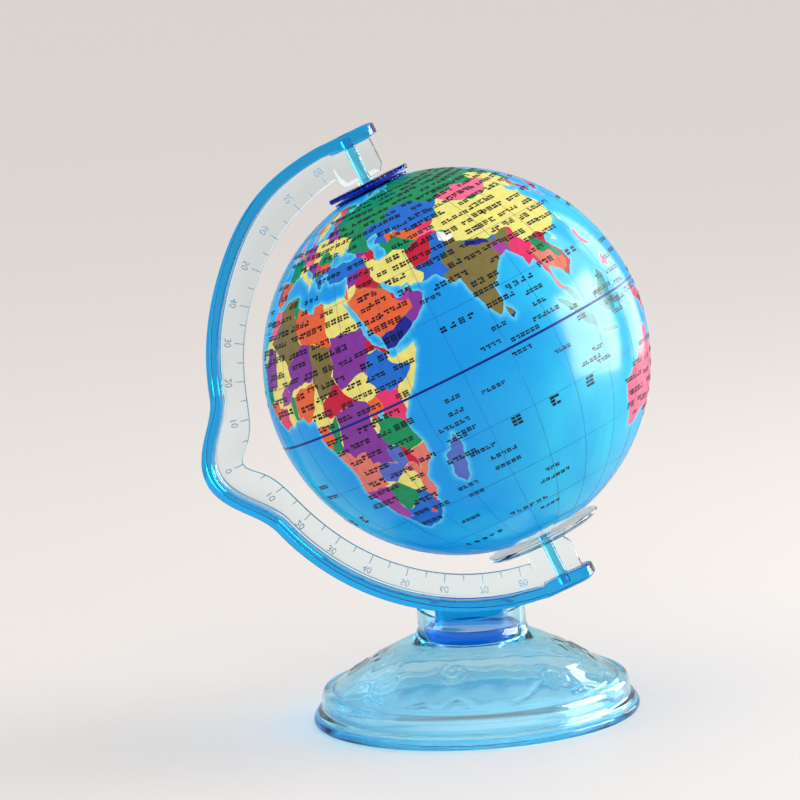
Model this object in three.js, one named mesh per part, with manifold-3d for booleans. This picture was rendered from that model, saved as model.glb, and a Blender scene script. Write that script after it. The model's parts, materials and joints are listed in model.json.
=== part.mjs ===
// Desktop globe on a clear blue stand.
// Millimetres, +Z up. The origin is the centre of the base's underside, on the table.
// +X points to the open side of the arm, and the arm's curve lies in the XZ plane.
import * as THREE from 'three';
import { mergeVertices } from 'three/addons/utils/BufferGeometryUtils.js';
import Module from 'manifold-3d';

const wasm = await Module();
wasm.setup();

// ---- Driving dimensions ----

const GLOBE_RADIUS = 70.8;          // a 1:90,000,000 globe
const GLOBE_WALL = 1.4;
const AXIS_TILT = 23.5;             // degrees, the top leaning towards -X
const GLOBE_CENTRE_HEIGHT = 131.6;
const GAP = 0.3;                    // between pieces that touch or slide

const TRAY_RADIUS = 60.3;
const TRAY_RIM_HEIGHT = 3.5;
const SHELL_WALL = 2.0;
const SHOULDER_RADIUS = 54.0;
const SHOULDER_HEIGHT = 12.5;
const NECK_RADIUS = 20.0;
const NECK_FOOT_HEIGHT = 30.4;
const PLUG_RADIUS = 17.7;
const PLUG_BOTTOM = 28.0;
const PLUG_TOP = 34.0;
const SADDLE_LENGTH = 26.0;
const SADDLE_WIDTH = 12.0;

const ARM_RADIUS = 92.4;            // outer face of the flange, from the globe's centre
const FLANGE_WIDTH = 13.4;
const FLANGE_THICKNESS = 4.2;
const WEB_THICKNESS = 2.0;
const WEB_RADIUS = 79.2;            // inner edge of the web
const BUMP_HEIGHT = 11.6;           // how far the flange steps out at the equator
const BUMP_HALF_WIDTH = 17.6;       // degrees along the arm
const WEB_BUMP_HALF_WIDTH = 4.6;    // degrees at half its height
const UPPER_BULGE = 2.2;            // the arm's upper quarter is a little fuller
const UPPER_BULGE_CENTRE = 66;      // degrees from the equator
const UPPER_BULGE_SPREAD = 16;      // degrees
const ARM_END = 88;                 // degrees from the equator, hidden inside the bosses
const BOSS_BACK = -8;               // along the arm, from the polar axis
const BOSS_FRONT = 11;
const BOSS_THICKNESS = 5.2;
const PLATE_BACK = -9.2;
const PLATE_FRONT = 8.0;
const PLATE_INNER = 74.5;

const PIN_RADIUS = 2.1;
const PIN_INNER = 66.5;             // the pin's tip, inside the hub
const HUB_RADIUS = 3.9;
const HUB_DISC_RADIUS = 14.4;
const DIAL_RADIUS = 15.7;
const DIAL_TEETH = 48;
const DIAL_BOTTOM = 72.1;
const DIAL_THICKNESS = 1.0;
const DISH_RADIUS = 22.3;
const DISH_TOP = -71.9;
const DISH_THICKNESS = 1.2;
const COLLAR_RADIUS = 3.3;
const COLLAR_HEIGHT = 0.8;
const JOINT_RING_HEIGHT = 10.0;
const JOINT_RING_WALL = 1.5;

const ROUND_SEGMENTS = 48;
const PIN_SEGMENTS = 24;
const rad = THREE.MathUtils.degToRad;

// ---- Materials ----

const clearBlue = new THREE.MeshStandardMaterial({ color: 0x35a8dc, roughness: 0.08, metalness: 0 });
const deepBlue = new THREE.MeshStandardMaterial({ color: 0x1747c8, roughness: 0.1, metalness: 0 });
const navy = new THREE.MeshStandardMaterial({ color: 0x0a1a8c, roughness: 0.15, metalness: 0 });
const colourless = new THREE.MeshStandardMaterial({ color: 0xe8eef0, roughness: 0.08, metalness: 0 });
const paleBlue = new THREE.MeshStandardMaterial({ color: 0x7cc8e8, roughness: 0.08, metalness: 0 });
const ocean = new THREE.MeshStandardMaterial({ color: 0x1492e0, roughness: 0.18, metalness: 0 });
const innerWhite = new THREE.MeshStandardMaterial({ color: 0xe4e4e0, roughness: 0.5, metalness: 0 });

// ---- Helpers ----

// A closed three.js geometry as a manifold-3d solid.
function toSolid(geometry) {
  const bare = geometry.clone();
  bare.deleteAttribute('normal');
  bare.deleteAttribute('uv');
  const merged = mergeVertices(bare, 1e-4);
  return new wasm.Manifold(new wasm.Mesh({
    numProp: 3,
    vertProperties: new Float32Array(merged.attributes.position.array),
    triVerts: new Uint32Array(merged.index.array),
  }));
}

// A manifold-3d solid as a three.js geometry.
function toGeometry(solid) {
  const mesh = solid.getMesh();
  const geometry = new THREE.BufferGeometry();
  geometry.setAttribute('position', new THREE.BufferAttribute(mesh.vertProperties, 3));
  geometry.setIndex(new THREE.BufferAttribute(mesh.triVerts, 1));
  geometry.computeVertexNormals();
  return geometry;
}

// A ring turned about Z from a profile of [radius, height] points, given anticlockwise.
function turned(profile, segments = ROUND_SEGMENTS) {
  const points = profile.map(([radius, height]) => new THREE.Vector2(radius, height));
  const onAxis = profile[0][0] === 0;
  if (!onAxis) points.push(points[0].clone());
  const geometry = new THREE.LatheGeometry(points, segments);
  geometry.rotateX(Math.PI / 2);
  return geometry;
}

// Points on an arc about the origin, from one angle to another, in degrees from the equator.
function arc(radius, from, to, steps) {
  const points = [];
  for (let i = 0; i <= steps; i += 1) {
    const angle = rad(from + ((to - from) * i) / steps);
    points.push([radius * Math.cos(angle), radius * Math.sin(angle)]);
  }
  return points;
}

// An outline in the arm's plane, given a thickness centred on that plane.
function plate(outline, thickness) {
  const shape = new THREE.Shape(outline.map(([x, z]) => new THREE.Vector2(x, z)));
  const geometry = new THREE.ExtrudeGeometry(shape, { depth: thickness, bevelEnabled: false });
  geometry.translate(0, 0, -thickness / 2);
  geometry.rotateX(Math.PI / 2);
  return geometry;
}

function rod(radius, from, to, segments = PIN_SEGMENTS) {
  const geometry = new THREE.CylinderGeometry(radius, radius, to - from, segments);
  geometry.rotateX(Math.PI / 2);
  geometry.translate(0, 0, (from + to) / 2);
  return geometry;
}

function ring(outer, inner, from, to, segments = PIN_SEGMENTS) {
  return turned([[inner, from], [outer, from], [outer, to], [inner, to]], segments);
}

function part(name, geometry, material) {
  const mesh = new THREE.Mesh(geometry, material);
  mesh.name = name;
  return mesh;
}

// ---- Base: tray, shell and the plug in its neck ----

// The rib on the tray stands inside the shell and centres it.
function baseTray() {
  const ribOuter = 54.0;
  const ribInner = 52.4;
  const ribTop = 6.0;
  const floorTop = 2.0;
  return turned([
    [0, 0],
    [TRAY_RADIUS - 0.8, 0],
    [TRAY_RADIUS, 0.8],
    [TRAY_RADIUS, TRAY_RIM_HEIGHT - 0.6],
    [TRAY_RADIUS - 0.6, TRAY_RIM_HEIGHT],
    [ribOuter, TRAY_RIM_HEIGHT],
    [ribOuter, ribTop],
    [ribInner, ribTop],
    [ribInner, floorTop],
    [0, floorTop],
  ]);
}

// The outer face climbs from the step to the shoulder, over the dome and up the neck.
function shellOutside() {
  return [
    [58.7, TRAY_RIM_HEIGHT + GAP],
    [58.7, 5.2],
    [57.4, 5.6],
    [57.0, 9.4],
    [55.9, 11.6],
    [SHOULDER_RADIUS, SHOULDER_HEIGHT],
    [49.0, 15.6],
    [43.5, 19.2],
    [38.0, 22.5],
    [32.5, 25.5],
    [27.0, 28.2],
    [NECK_RADIUS + 2.3, NECK_FOOT_HEIGHT],
    [NECK_RADIUS + 0.5, 31.8],
    [NECK_RADIUS, 33.6],
    [NECK_RADIUS, 43.0],
  ];
}

// The inner face follows the outer one a wall's thickness inside it.
function shellInside() {
  return [
    [NECK_RADIUS - SHELL_WALL, 43.0],
    [NECK_RADIUS - SHELL_WALL, 27.4],
    [26.2, 26.2],
    [31.6, 23.6],
    [37.1, 20.7],
    [42.5, 17.4],
    [48.0, 13.8],
    [52.9, 10.8],
    [54.6, 9.0],
    [54.9, TRAY_RIM_HEIGHT + GAP],
  ];
}

// The neck's rim is hollowed to the curve of the arm that rests on it.
function baseShell() {
  const shell = toSolid(turned([...shellOutside(), ...shellInside()]));
  const armBed = new THREE.CylinderGeometry(ARM_RADIUS + GAP, ARM_RADIUS + GAP, 80, 180);
  armBed.translate(0, 0, GLOBE_CENTRE_HEIGHT);
  return toGeometry(shell.subtract(toSolid(armBed)));
}

function neckPlug() {
  return turned([
    [0, PLUG_BOTTOM],
    [PLUG_RADIUS - 0.8, PLUG_BOTTOM],
    [PLUG_RADIUS, PLUG_BOTTOM + 0.8],
    [PLUG_RADIUS, PLUG_TOP - 0.8],
    [PLUG_RADIUS - 0.8, PLUG_TOP],
    [0, PLUG_TOP],
  ]);
}

// ---- Arm ----
// Angles along the arm are degrees from the equator, positive towards the north pole.

// How far the flange's outer face is from the globe's centre.
function flangeRadius(angle) {
  const inBump = Math.min(Math.abs(angle) / BUMP_HALF_WIDTH, 1);
  const bump = (BUMP_HEIGHT * (1 + Math.cos(Math.PI * inBump))) / 2;
  const alongBulge = (angle - UPPER_BULGE_CENTRE) / UPPER_BULGE_SPREAD;
  return ARM_RADIUS + bump + UPPER_BULGE * Math.exp(-alongBulge * alongBulge);
}

// How far the web's inner edge is from the globe's centre.
function webRadius(angle) {
  const across = angle / WEB_BUMP_HALF_WIDTH;
  return WEB_RADIUS + 10.6 / (1 + across * across);
}

// A point at an angle along the arm, which curves round the -X side.
function armPoint(radius, angle) {
  return [-radius * Math.cos(rad(angle)), radius * Math.sin(rad(angle))];
}

// The angles are closer together in the bump.
function armAngles() {
  const angles = [];
  for (let angle = -ARM_END; angle < -20; angle += 4) angles.push(angle);
  for (let angle = -20; angle < 20; angle += 2) angles.push(angle);
  for (let angle = 20; angle <= ARM_END; angle += 4) angles.push(angle);
  return angles;
}

function band(outerRadius, innerRadius) {
  const angles = armAngles();
  const outer = angles.map((angle) => armPoint(outerRadius(angle), angle));
  const inner = angles.map((angle) => armPoint(innerRadius(angle), angle));
  return [...outer, ...inner.reverse()];
}

// The thick bar at a pole; side is 1 at the north and -1 at the south.
function boss(side) {
  const outer = ARM_RADIUS;
  const nose = 1.8;
  const bar = plate([
    [BOSS_BACK, side * (outer - BOSS_THICKNESS)],
    [BOSS_FRONT - nose, side * (outer - BOSS_THICKNESS)],
    [BOSS_FRONT, side * (outer - BOSS_THICKNESS + nose)],
    [BOSS_FRONT, side * (outer - nose)],
    [BOSS_FRONT - nose, side * outer],
    [BOSS_BACK, side * outer],
  ], FLANGE_WIDTH);
  return toSolid(bar);
}

// The flat plate beside a pin, from the boss down to the polar disc.
function endPlate(side) {
  const sheet = plate([
    [PLATE_BACK, side * PLATE_INNER],
    [PLATE_FRONT, side * PLATE_INNER],
    [PLATE_FRONT - 1, side * (ARM_RADIUS - 1)],
    [PLATE_BACK, side * (ARM_RADIUS - 1)],
  ], WEB_THICKNESS);
  return toSolid(sheet);
}

function pinHole(side) {
  const ends = [PLATE_INNER - 2, ARM_RADIUS - 1.5].map((height) => side * height);
  return toSolid(rod(PIN_RADIUS + GAP, Math.min(...ends), Math.max(...ends)));
}

// The block under the flange that stands on the plug, still in the tilted frame's upright.
function saddle() {
  const block = new THREE.BoxGeometry(SADDLE_LENGTH, SADDLE_WIDTH, 12);
  block.translate(0, 0, PLUG_TOP + GAP + 6 - GLOBE_CENTRE_HEIGHT);
  block.rotateY(rad(AXIS_TILT));
  const innerFace = new THREE.CylinderGeometry(ARM_RADIUS - 1, ARM_RADIUS - 1, 80, 180);
  return toSolid(block).subtract(toSolid(innerFace));
}

function meridianArm() {
  const flange = plate(band(flangeRadius, (angle) => flangeRadius(angle) - FLANGE_THICKNESS), FLANGE_WIDTH);
  const web = plate(band((angle) => flangeRadius(angle) - FLANGE_THICKNESS / 2, webRadius), WEB_THICKNESS);
  let arm = toSolid(flange).add(toSolid(web)).add(saddle());
  for (const side of [1, -1]) {
    arm = arm.add(boss(side)).add(endPlate(side));
    arm = arm.subtract(pinHole(side));
  }
  return toGeometry(arm);
}

// ---- Ball ----

// Half a hollow ball with a hole at its pole; side is 1 for the north and -1 for the south.
function halfBall(side) {
  const inner = GLOBE_RADIUS - GLOBE_WALL;
  const seam = 0.1;
  const equator = THREE.MathUtils.radToDeg(seam / GLOBE_RADIUS);
  const holeAngle = 90 - THREE.MathUtils.radToDeg((HUB_RADIUS + GAP) / GLOBE_RADIUS);
  const outerArc = arc(GLOBE_RADIUS, equator, holeAngle, 9);
  const innerArc = arc(inner, holeAngle, equator, 5);
  const profile = [...outerArc, ...innerArc].map(([radius, height]) => [radius, side * height]);
  return turned(side > 0 ? profile : profile.reverse());
}

function equatorJointRing() {
  const outer = GLOBE_RADIUS - GLOBE_WALL - 3 * GAP;
  const half = JOINT_RING_HEIGHT / 2;
  return ring(outer, outer - JOINT_RING_WALL, -half, half, ROUND_SEGMENTS);
}

// A stub through the ball's pole hole under a thin cap that follows the ball.
function northHub() {
  const bore = PIN_RADIUS + GAP;
  const clear = GLOBE_RADIUS + GAP;
  const rimAngle = 90 - THREE.MathUtils.radToDeg(HUB_DISC_RADIUS / clear);
  const neckAngle = 90 - THREE.MathUtils.radToDeg(HUB_RADIUS / clear);
  return turned([
    [bore, PIN_INNER],
    [HUB_RADIUS, PIN_INNER],
    ...arc(clear, neckAngle, rimAngle, 3),
    ...arc(clear + 0.8, rimAngle, neckAngle, 3),
    [bore, clear + 0.75],
  ]);
}

// The hub's far end stops level with the ball, so that the dish lies right against it.
function southHub() {
  return ring(HUB_RADIUS, PIN_RADIUS + GAP, -GLOBE_RADIUS - 0.4, -PIN_INNER);
}

function northDial() {
  const teeth = [];
  for (let i = 0; i < DIAL_TEETH; i += 1) {
    const step = (2 * Math.PI) / DIAL_TEETH;
    teeth.push([DIAL_RADIUS, (i + 0.25) * step], [DIAL_RADIUS - 0.7, (i + 0.75) * step]);
  }
  const shape = new THREE.Shape(
    teeth.map(([radius, angle]) => new THREE.Vector2(radius * Math.cos(angle), radius * Math.sin(angle))),
  );
  const hole = new THREE.Path();
  hole.absarc(0, 0, PIN_RADIUS + GAP, 0, 2 * Math.PI, true);
  shape.holes.push(hole);
  const disc = new THREE.ExtrudeGeometry(shape, { depth: DIAL_THICKNESS, bevelEnabled: false, curveSegments: 12 });
  disc.translate(0, 0, DIAL_BOTTOM);
  return disc;
}

// The dish's rim curls up towards the ball.
function southDish() {
  const bore = PIN_RADIUS + GAP;
  return turned([
    [bore, DISH_TOP - DISH_THICKNESS],
    [DISH_RADIUS - 3, DISH_TOP - DISH_THICKNESS + 0.2],
    [DISH_RADIUS, DISH_TOP + 1.0],
    [DISH_RADIUS - 0.8, DISH_TOP + 1.6],
    [DISH_RADIUS - 3.6, DISH_TOP + 0.3],
    [bore, DISH_TOP],
  ]);
}

// ---- Assembly ----

const base = new THREE.Group();
base.add(
  part('base_tray', baseTray(), paleBlue),
  part('base_shell', baseShell(), paleBlue),
  part('neck_plug', neckPlug(), deepBlue),
);

const pinOuter = ARM_RADIUS - 1.5 - GAP;
const collarNorth = DIAL_BOTTOM + DIAL_THICKNESS + GAP;
const collarSouth = DISH_TOP - DISH_THICKNESS - GAP;

const tilted = new THREE.Group();
tilted.position.set(0, 0, GLOBE_CENTRE_HEIGHT);
tilted.rotation.y = -rad(AXIS_TILT);
tilted.add(
  part('meridian_arm', meridianArm(), clearBlue),
  part('north_pin', rod(PIN_RADIUS, PIN_INNER, pinOuter), clearBlue),
  part('south_pin', rod(PIN_RADIUS, -pinOuter, -PIN_INNER), clearBlue),
  part('globe_north_shell', halfBall(1), ocean),
  part('globe_south_shell', halfBall(-1), ocean),
  part('equator_joint_ring', equatorJointRing(), innerWhite),
  part('north_hub', northHub(), navy),
  part('north_dial', northDial(), navy),
  part('north_collar', ring(COLLAR_RADIUS, PIN_RADIUS + GAP, collarNorth, collarNorth + COLLAR_HEIGHT), deepBlue),
  part('south_hub', southHub(), colourless),
  part('south_dish', southDish(), colourless),
  part('south_collar', ring(COLLAR_RADIUS, PIN_RADIUS + GAP, collarSouth - COLLAR_HEIGHT, collarSouth), deepBlue),
);

const globe = new THREE.Group();
globe.add(base, tilted);

export default globe;
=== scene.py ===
"""A desktop globe on a clear blue stand: printed ball, curved arm with a degree scale, domed base."""

import json
import logging
import math
import random
from dataclasses import dataclass, field
from enum import Enum

import bmesh
import bpy
import numpy as np
from mathutils import Matrix, Vector, geometry, kdtree


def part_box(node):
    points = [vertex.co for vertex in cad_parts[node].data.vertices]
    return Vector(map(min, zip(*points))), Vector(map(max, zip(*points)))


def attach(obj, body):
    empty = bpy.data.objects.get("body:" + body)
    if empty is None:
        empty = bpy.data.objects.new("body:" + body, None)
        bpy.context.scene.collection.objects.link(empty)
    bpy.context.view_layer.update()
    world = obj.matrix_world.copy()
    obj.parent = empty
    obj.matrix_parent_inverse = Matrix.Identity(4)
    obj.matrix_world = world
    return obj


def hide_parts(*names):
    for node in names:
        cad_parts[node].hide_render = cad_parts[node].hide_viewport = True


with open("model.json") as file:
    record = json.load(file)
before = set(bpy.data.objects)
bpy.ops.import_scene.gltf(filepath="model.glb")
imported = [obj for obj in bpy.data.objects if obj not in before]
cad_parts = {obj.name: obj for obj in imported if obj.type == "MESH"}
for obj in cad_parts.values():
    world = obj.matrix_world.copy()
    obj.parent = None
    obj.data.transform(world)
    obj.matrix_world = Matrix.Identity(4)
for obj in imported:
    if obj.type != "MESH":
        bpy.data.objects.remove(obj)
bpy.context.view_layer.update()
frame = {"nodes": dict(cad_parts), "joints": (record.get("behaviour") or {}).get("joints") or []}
LOG = logging.getLogger("globe")
MM = 0.001
ON_AXIS = 1e-6  # a smaller radius, in millimetres, lies on the axis
ROUNDED_SHARE = 0.45  # the most of a side that the rounding of one corner takes up


class Body(Enum):
    """The rigid bodies that a piece can ride on."""

    STAND = "stand"
    BALL = "ball"
    DIAL = "dial"


class Ink(Enum):
    """Printing inks of the map, as linear colours."""

    SEA = (0.000, 0.290, 0.810)
    EQUATOR = (0.004, 0.010, 0.230)
    GREEN = (0.003, 0.270, 0.105)
    ROYAL = (0.012, 0.150, 0.640)
    ROSE = (0.740, 0.035, 0.150)
    PINK = (0.880, 0.140, 0.270)
    SAND = (0.800, 0.730, 0.200)
    OLIVE = (0.200, 0.160, 0.050)
    NAVY = (0.010, 0.018, 0.300)
    CRIMSON = (0.540, 0.008, 0.045)
    ORANGE = (0.780, 0.125, 0.040)
    SALMON = (0.740, 0.190, 0.150)
    MAGENTA = (0.360, 0.045, 0.360)
    PURPLE = (0.215, 0.035, 0.330)
    VIOLET = (0.085, 0.150, 0.560)
    TEAL = (0.010, 0.300, 0.330)
    PAPER = (0.860, 0.860, 0.840)


# --- Mesh helpers ---


def link_in(name: str, data: bpy.types.ID) -> bpy.types.Object:
    """Makes an object and links it to the scene.

    Args:
        name: the object's name.
        data: its mesh, text, lamp or camera.

    Returns:
        The new object, at the origin.
    """
    item = bpy.data.objects.new(name, data)
    bpy.context.scene.collection.objects.link(item)
    return item


def add_mesh(name: str, points: list, faces: list, smooth: bool = True) -> bpy.types.Object:
    """Makes an object from points and faces.

    Args:
        name: the piece's name.
        points: its corners, in metres, in the object's frame.
        faces: index lists, facing outwards.
        smooth: whether it is shaded smooth.

    Returns:
        The new object, at the origin.
    """
    mesh = bpy.data.meshes.new(name)
    mesh.from_pydata([tuple(point) for point in points], [], faces)
    mesh.validate()
    mesh.update()
    mesh.polygons.foreach_set("use_smooth", [smooth] * len(mesh.polygons))
    return link_in(name, mesh)


def plain_object(name: str, item: bpy.types.Object) -> bpy.types.Object:
    """Turns a text, or an object with modifiers, into an object with a plain mesh.

    Args:
        name: the new object's name.
        item: the text or object, which is removed.

    Returns:
        The new object, with no modifier.
    """
    bpy.context.view_layer.update()
    depsgraph = bpy.context.evaluated_depsgraph_get()
    mesh = bpy.data.meshes.new_from_object(item.evaluated_get(depsgraph))
    mesh.name = name
    bpy.data.objects.remove(item)
    return link_in(name, mesh)


def facing(right: Vector, up: Vector, out: Vector, spot: Vector) -> Matrix:
    """Returns the place of a thing at a spot in millimetres, from the directions of its X, Y and Z."""
    return Matrix.Translation(spot * MM) @ Matrix((right, up, out)).transposed().to_4x4()


def wrap(rows: int, ring: int, closed: bool = False) -> list[tuple[int, int, int, int]]:
    """Joins rows of corners, each a closed ring, with faces.

    Args:
        rows: how many rows there are.
        ring: how many corners a row has.
        closed: whether the last row is joined to the first.

    Returns:
        The faces' corners.
    """
    faces = []
    for row in range(rows if closed else rows - 1):
        low, high = row * ring, (row + 1) % rows * ring
        for corner in range(ring):
            after = (corner + 1) % ring
            faces.append((low + corner, low + after, high + after, high + corner))
    return faces


def tidy_mesh(item: bpy.types.Object, merge: float = 1e-7) -> bpy.types.Object:
    """Merges doubled corners and turns every face outwards.

    Args:
        item: the piece.
        merge: how near two corners are when they are one, in metres.

    Returns:
        The same piece.
    """
    work = bmesh.new()
    work.from_mesh(item.data)
    bmesh.ops.remove_doubles(work, verts=work.verts, dist=merge)
    bmesh.ops.dissolve_degenerate(work, edges=work.edges, dist=merge)
    bmesh.ops.recalc_face_normals(work, faces=work.faces)
    work.to_mesh(item.data)
    work.free()
    return item


def sharp_by_angle(item: bpy.types.Object, degrees: float = 35.0) -> bpy.types.Object:
    """Shades a piece smooth but keeps edges crisp where faces meet at more than an angle.

    Args:
        item: the piece.
        degrees: the angle.

    Returns:
        The same piece.
    """
    work = bmesh.new()
    work.from_mesh(item.data)
    limit = math.radians(degrees)
    for edge in work.edges:
        edge.smooth = edge.calc_face_angle(0.0) < limit
    work.to_mesh(item.data)
    work.free()
    item.data.polygons.foreach_set("use_smooth", [True] * len(item.data.polygons))
    return item


def turned(name: str, profile: list[tuple[float, float]], segments: int = 160) -> bpy.types.Object:
    """Turns a closed profile about Z.

    Args:
        name: the piece's name.
        profile: [radius, height] pairs in millimetres; it starts and ends on the axis, or closes on itself.
        segments: how many steps there are round the axis.

    Returns:
        The turned piece, shaded by angle.
    """
    points = []
    rings = []
    for radius, height in profile:
        steps = 1 if radius < ON_AXIS else segments
        rings.append((len(points), steps))
        for step in range(steps):
            turn = 2 * math.pi * step / segments
            points.append(Vector((radius * math.cos(turn), radius * math.sin(turn), height)) * MM)
    faces = []
    pairs = list(zip(rings, rings[1:]))
    if profile[0][0] > ON_AXIS:
        pairs.append((rings[-1], rings[0]))
    for (low, low_steps), (high, high_steps) in pairs:
        for step in range(segments):
            after = (step + 1) % segments
            corners = [low + step % low_steps, low + after % low_steps]
            corners += [high + after % high_steps, high + step % high_steps]
            unique = list(dict.fromkeys(corners))
            if len(unique) > 2:
                faces.append(unique)
    return sharp_by_angle(tidy_mesh(add_mesh(name, points, faces)))


def rounded(profile: list[tuple[float, float]], radius: float, steps: int = 4) -> list[tuple[float, float]]:
    """Rounds every corner of a profile.

    Args:
        profile: the closed profile's corners, in millimetres; corners on the axis stay as they are.
        radius: the rounding at each corner, made smaller where an edge is short.
        steps: how many steps each rounding has.

    Returns:
        The rounded profile.
    """
    result = []
    count = len(profile)
    for index, corner in enumerate(profile):
        here = Vector(corner)
        before = Vector(profile[index - 1]) - here
        after = Vector(profile[(index + 1) % count]) - here
        if corner[0] < ON_AXIS:
            result.append(tuple(corner))
            continue
        cut = min(radius, ROUNDED_SHARE * before.length, ROUNDED_SHARE * after.length)
        start = here + before.normalized() * cut
        end = here + after.normalized() * cut
        for step in range(steps + 1):
            t = step / steps
            point = start * (1 - t) ** 2 + here * (2 * t * (1 - t)) + end * t**2
            result.append(tuple(point))
    return result


def smooth_line(points: list[tuple[float, float]], steps: int = 6) -> list[tuple[float, float]]:
    """Runs a smooth curve through points in a plane.

    Args:
        points: the points that the curve passes, in order.
        steps: how many steps there are between two points.

    Returns:
        The points of the curve.
    """
    ends = [points[0], *points, points[-1]]
    result = []
    for p0, p1, p2, p3 in zip(ends, ends[1:], ends[2:], ends[3:]):
        a, b, c, d = (np.array(p, float) for p in (p0, p1, p2, p3))
        for step in range(steps):
            t = step / steps
            point = 0.5 * (2 * b + (c - a) * t + (2 * a - 5 * b + 4 * c - d) * t**2
                           + (3 * b - a - 3 * c + d) * t**3)
            result.append(tuple(point))
    result.append(tuple(points[-1]))
    return result


def finish_piece(
    item: bpy.types.Object, finish: "Finish | None", body: Body, slot: str, *replaced: str
) -> None:
    """Gives a piece its finish and its body, and hides the CAD nodes that it stands for.

    Args:
        item: the piece.
        finish: its finish, or None where its node tree has set it.
        body: the body it rides on.
        slot: the record's material slot; not used.
        replaced: the CAD nodes that it stands for.
    """
    if finish is not None:
        item.data.materials.clear()
        item.data.materials.append(finish.material())
    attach(item, body.value)
    if replaced:
        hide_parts(*replaced)
    LOG.info("%s: %d faces on %s", item.name, len(item.data.polygons), body.value)


def join_pieces(name: str, items: list[bpy.types.Object]) -> bpy.types.Object:
    """Joins mesh objects that sit at the origin into one.

    Args:
        name: the joined piece's name.
        items: the objects, which are removed.

    Returns:
        The joined piece.
    """
    work = bmesh.new()
    for item in items:
        work.from_mesh(item.data)
        bpy.data.objects.remove(item)
    mesh = bpy.data.meshes.new(name)
    work.to_mesh(mesh)
    work.free()
    return link_in(name, mesh)


# --- Node trees ---


class Tree:
    """A node tree, with short ways to add nodes and to set and link their inputs."""

    def __init__(self, tree: bpy.types.NodeTree) -> None:
        """Takes the tree."""
        self.tree = tree

    def fill(self, node: bpy.types.Node, inputs: dict) -> bpy.types.Node:
        """Sets or links a node's inputs.

        Args:
            node: the node.
            inputs: input name or number to a value, a colour as (red, green, blue), or a socket to link.

        Returns:
            The same node.
        """
        for key, value in inputs.items():
            if isinstance(value, bpy.types.NodeSocket):
                self.tree.links.new(value, node.inputs[key])
            else:
                node.inputs[key].default_value = (*value, 1.0) if isinstance(value, tuple) else value
        return node

    def node(self, kind: str, inputs: dict | None = None, **settings: object) -> bpy.types.Node:
        """Adds a node.

        Args:
            kind: the node's type.
            inputs: what its inputs are, as in fill.
            settings: the node's own settings.

        Returns:
            The new node.
        """
        made = self.tree.nodes.new(kind)
        for key, value in settings.items():
            setattr(made, key, value)
        return self.fill(made, inputs or {})

    def math(self, operation: str, *values: object, clamp: bool = False) -> bpy.types.NodeSocket:
        """Adds a Math node on values or sockets and returns its result."""
        made = self.node("ShaderNodeMath", dict(enumerate(values)), operation=operation, use_clamp=clamp)
        return made.outputs[0]

    def spread(self, value: bpy.types.NodeSocket, **ends: float) -> bpy.types.NodeSocket:
        """Adds a Map Range node, whose ends are from_min, from_max, to_min and to_max; returns its result."""
        named = {key.replace("_", " ").title(): end for key, end in ends.items()}
        return self.node("ShaderNodeMapRange", {"Value": value, **named}).outputs["Result"]

    def noise(self, scale: object, detail: float, distortion: float = 0.0) -> bpy.types.NodeSocket:
        """Adds noise in the object's own space and returns its value."""
        place = self.node("ShaderNodeTexCoord").outputs["Object"]
        sizes = {"Vector": place, "Scale": scale, "Detail": detail, "Distortion": distortion}
        return self.node("ShaderNodeTexNoise", sizes).outputs["Fac"]

    def mix(self, factor: bpy.types.NodeSocket, first: object, second: object) -> bpy.types.NodeSocket:
        """Mixes two colours, each a value or a socket, and returns the result."""
        return self.node("ShaderNodeMix", {0: factor, 6: first, 7: second}, data_type="RGBA").outputs[2]


class GrowingTree(Tree):
    """A Geometry Nodes tree with named inputs, which ends in Realize Instances and Set Material."""

    def __init__(self, name: str, inputs: dict[str, tuple[str, object]]) -> None:
        """Starts a tree.

        Args:
            name: the tree's name.
            inputs: input name to (socket type, default value).
        """
        super().__init__(bpy.data.node_groups.new(name, "GeometryNodeTree"))
        face = self.tree.interface
        face.new_socket("Geometry", in_out="INPUT", socket_type="NodeSocketGeometry")
        for label, (kind, default) in inputs.items():
            face.new_socket(label, in_out="INPUT", socket_type=kind).default_value = default
        face.new_socket("Finish", in_out="INPUT", socket_type="NodeSocketMaterial")
        face.new_socket("Geometry", in_out="OUTPUT", socket_type="NodeSocketGeometry")
        self.inputs = self.node("NodeGroupInput").outputs

    def attribute(self, name: str) -> bpy.types.NodeSocket:
        """Reads a named vector of the points."""
        made = self.node("GeometryNodeInputNamedAttribute", {"Name": name}, data_type="FLOAT_VECTOR")
        return made.outputs["Attribute"]

    def end(self, source: bpy.types.NodeSocket) -> "GrowingTree":
        """Ends the tree with Realize Instances and Set Material.

        Args:
            source: the geometry that the tree has made.

        Returns:
            The same tree.
        """
        real = self.node("GeometryNodeRealizeInstances", {0: source})
        inputs = {"Geometry": real.outputs[0], "Material": self.inputs["Finish"]}
        dressed = self.node("GeometryNodeSetMaterial", inputs)
        self.node("NodeGroupOutput", {0: dressed.outputs[0]})
        return self

    def grow(self, name: str, seed: bpy.types.Object, finish: "Finish", **values: object) -> bpy.types.Object:
        """Runs the tree on a mesh and returns the result as a plain mesh.

        Args:
            name: the new piece's name.
            seed: the object the tree runs on, which is removed.
            finish: the finish for its Finish input.
            values: input name to value.

        Returns:
            The new piece, with no modifier.
        """
        modifier = seed.modifiers.new(self.tree.name, "NODES")
        modifier.node_group = self.tree
        values["Finish"] = finish.material()
        for socket in self.tree.interface.items_tree:
            if socket.in_out == "INPUT" and socket.name in values:
                modifier[socket.identifier] = values[socket.name]
        return plain_object(name, seed)


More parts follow.
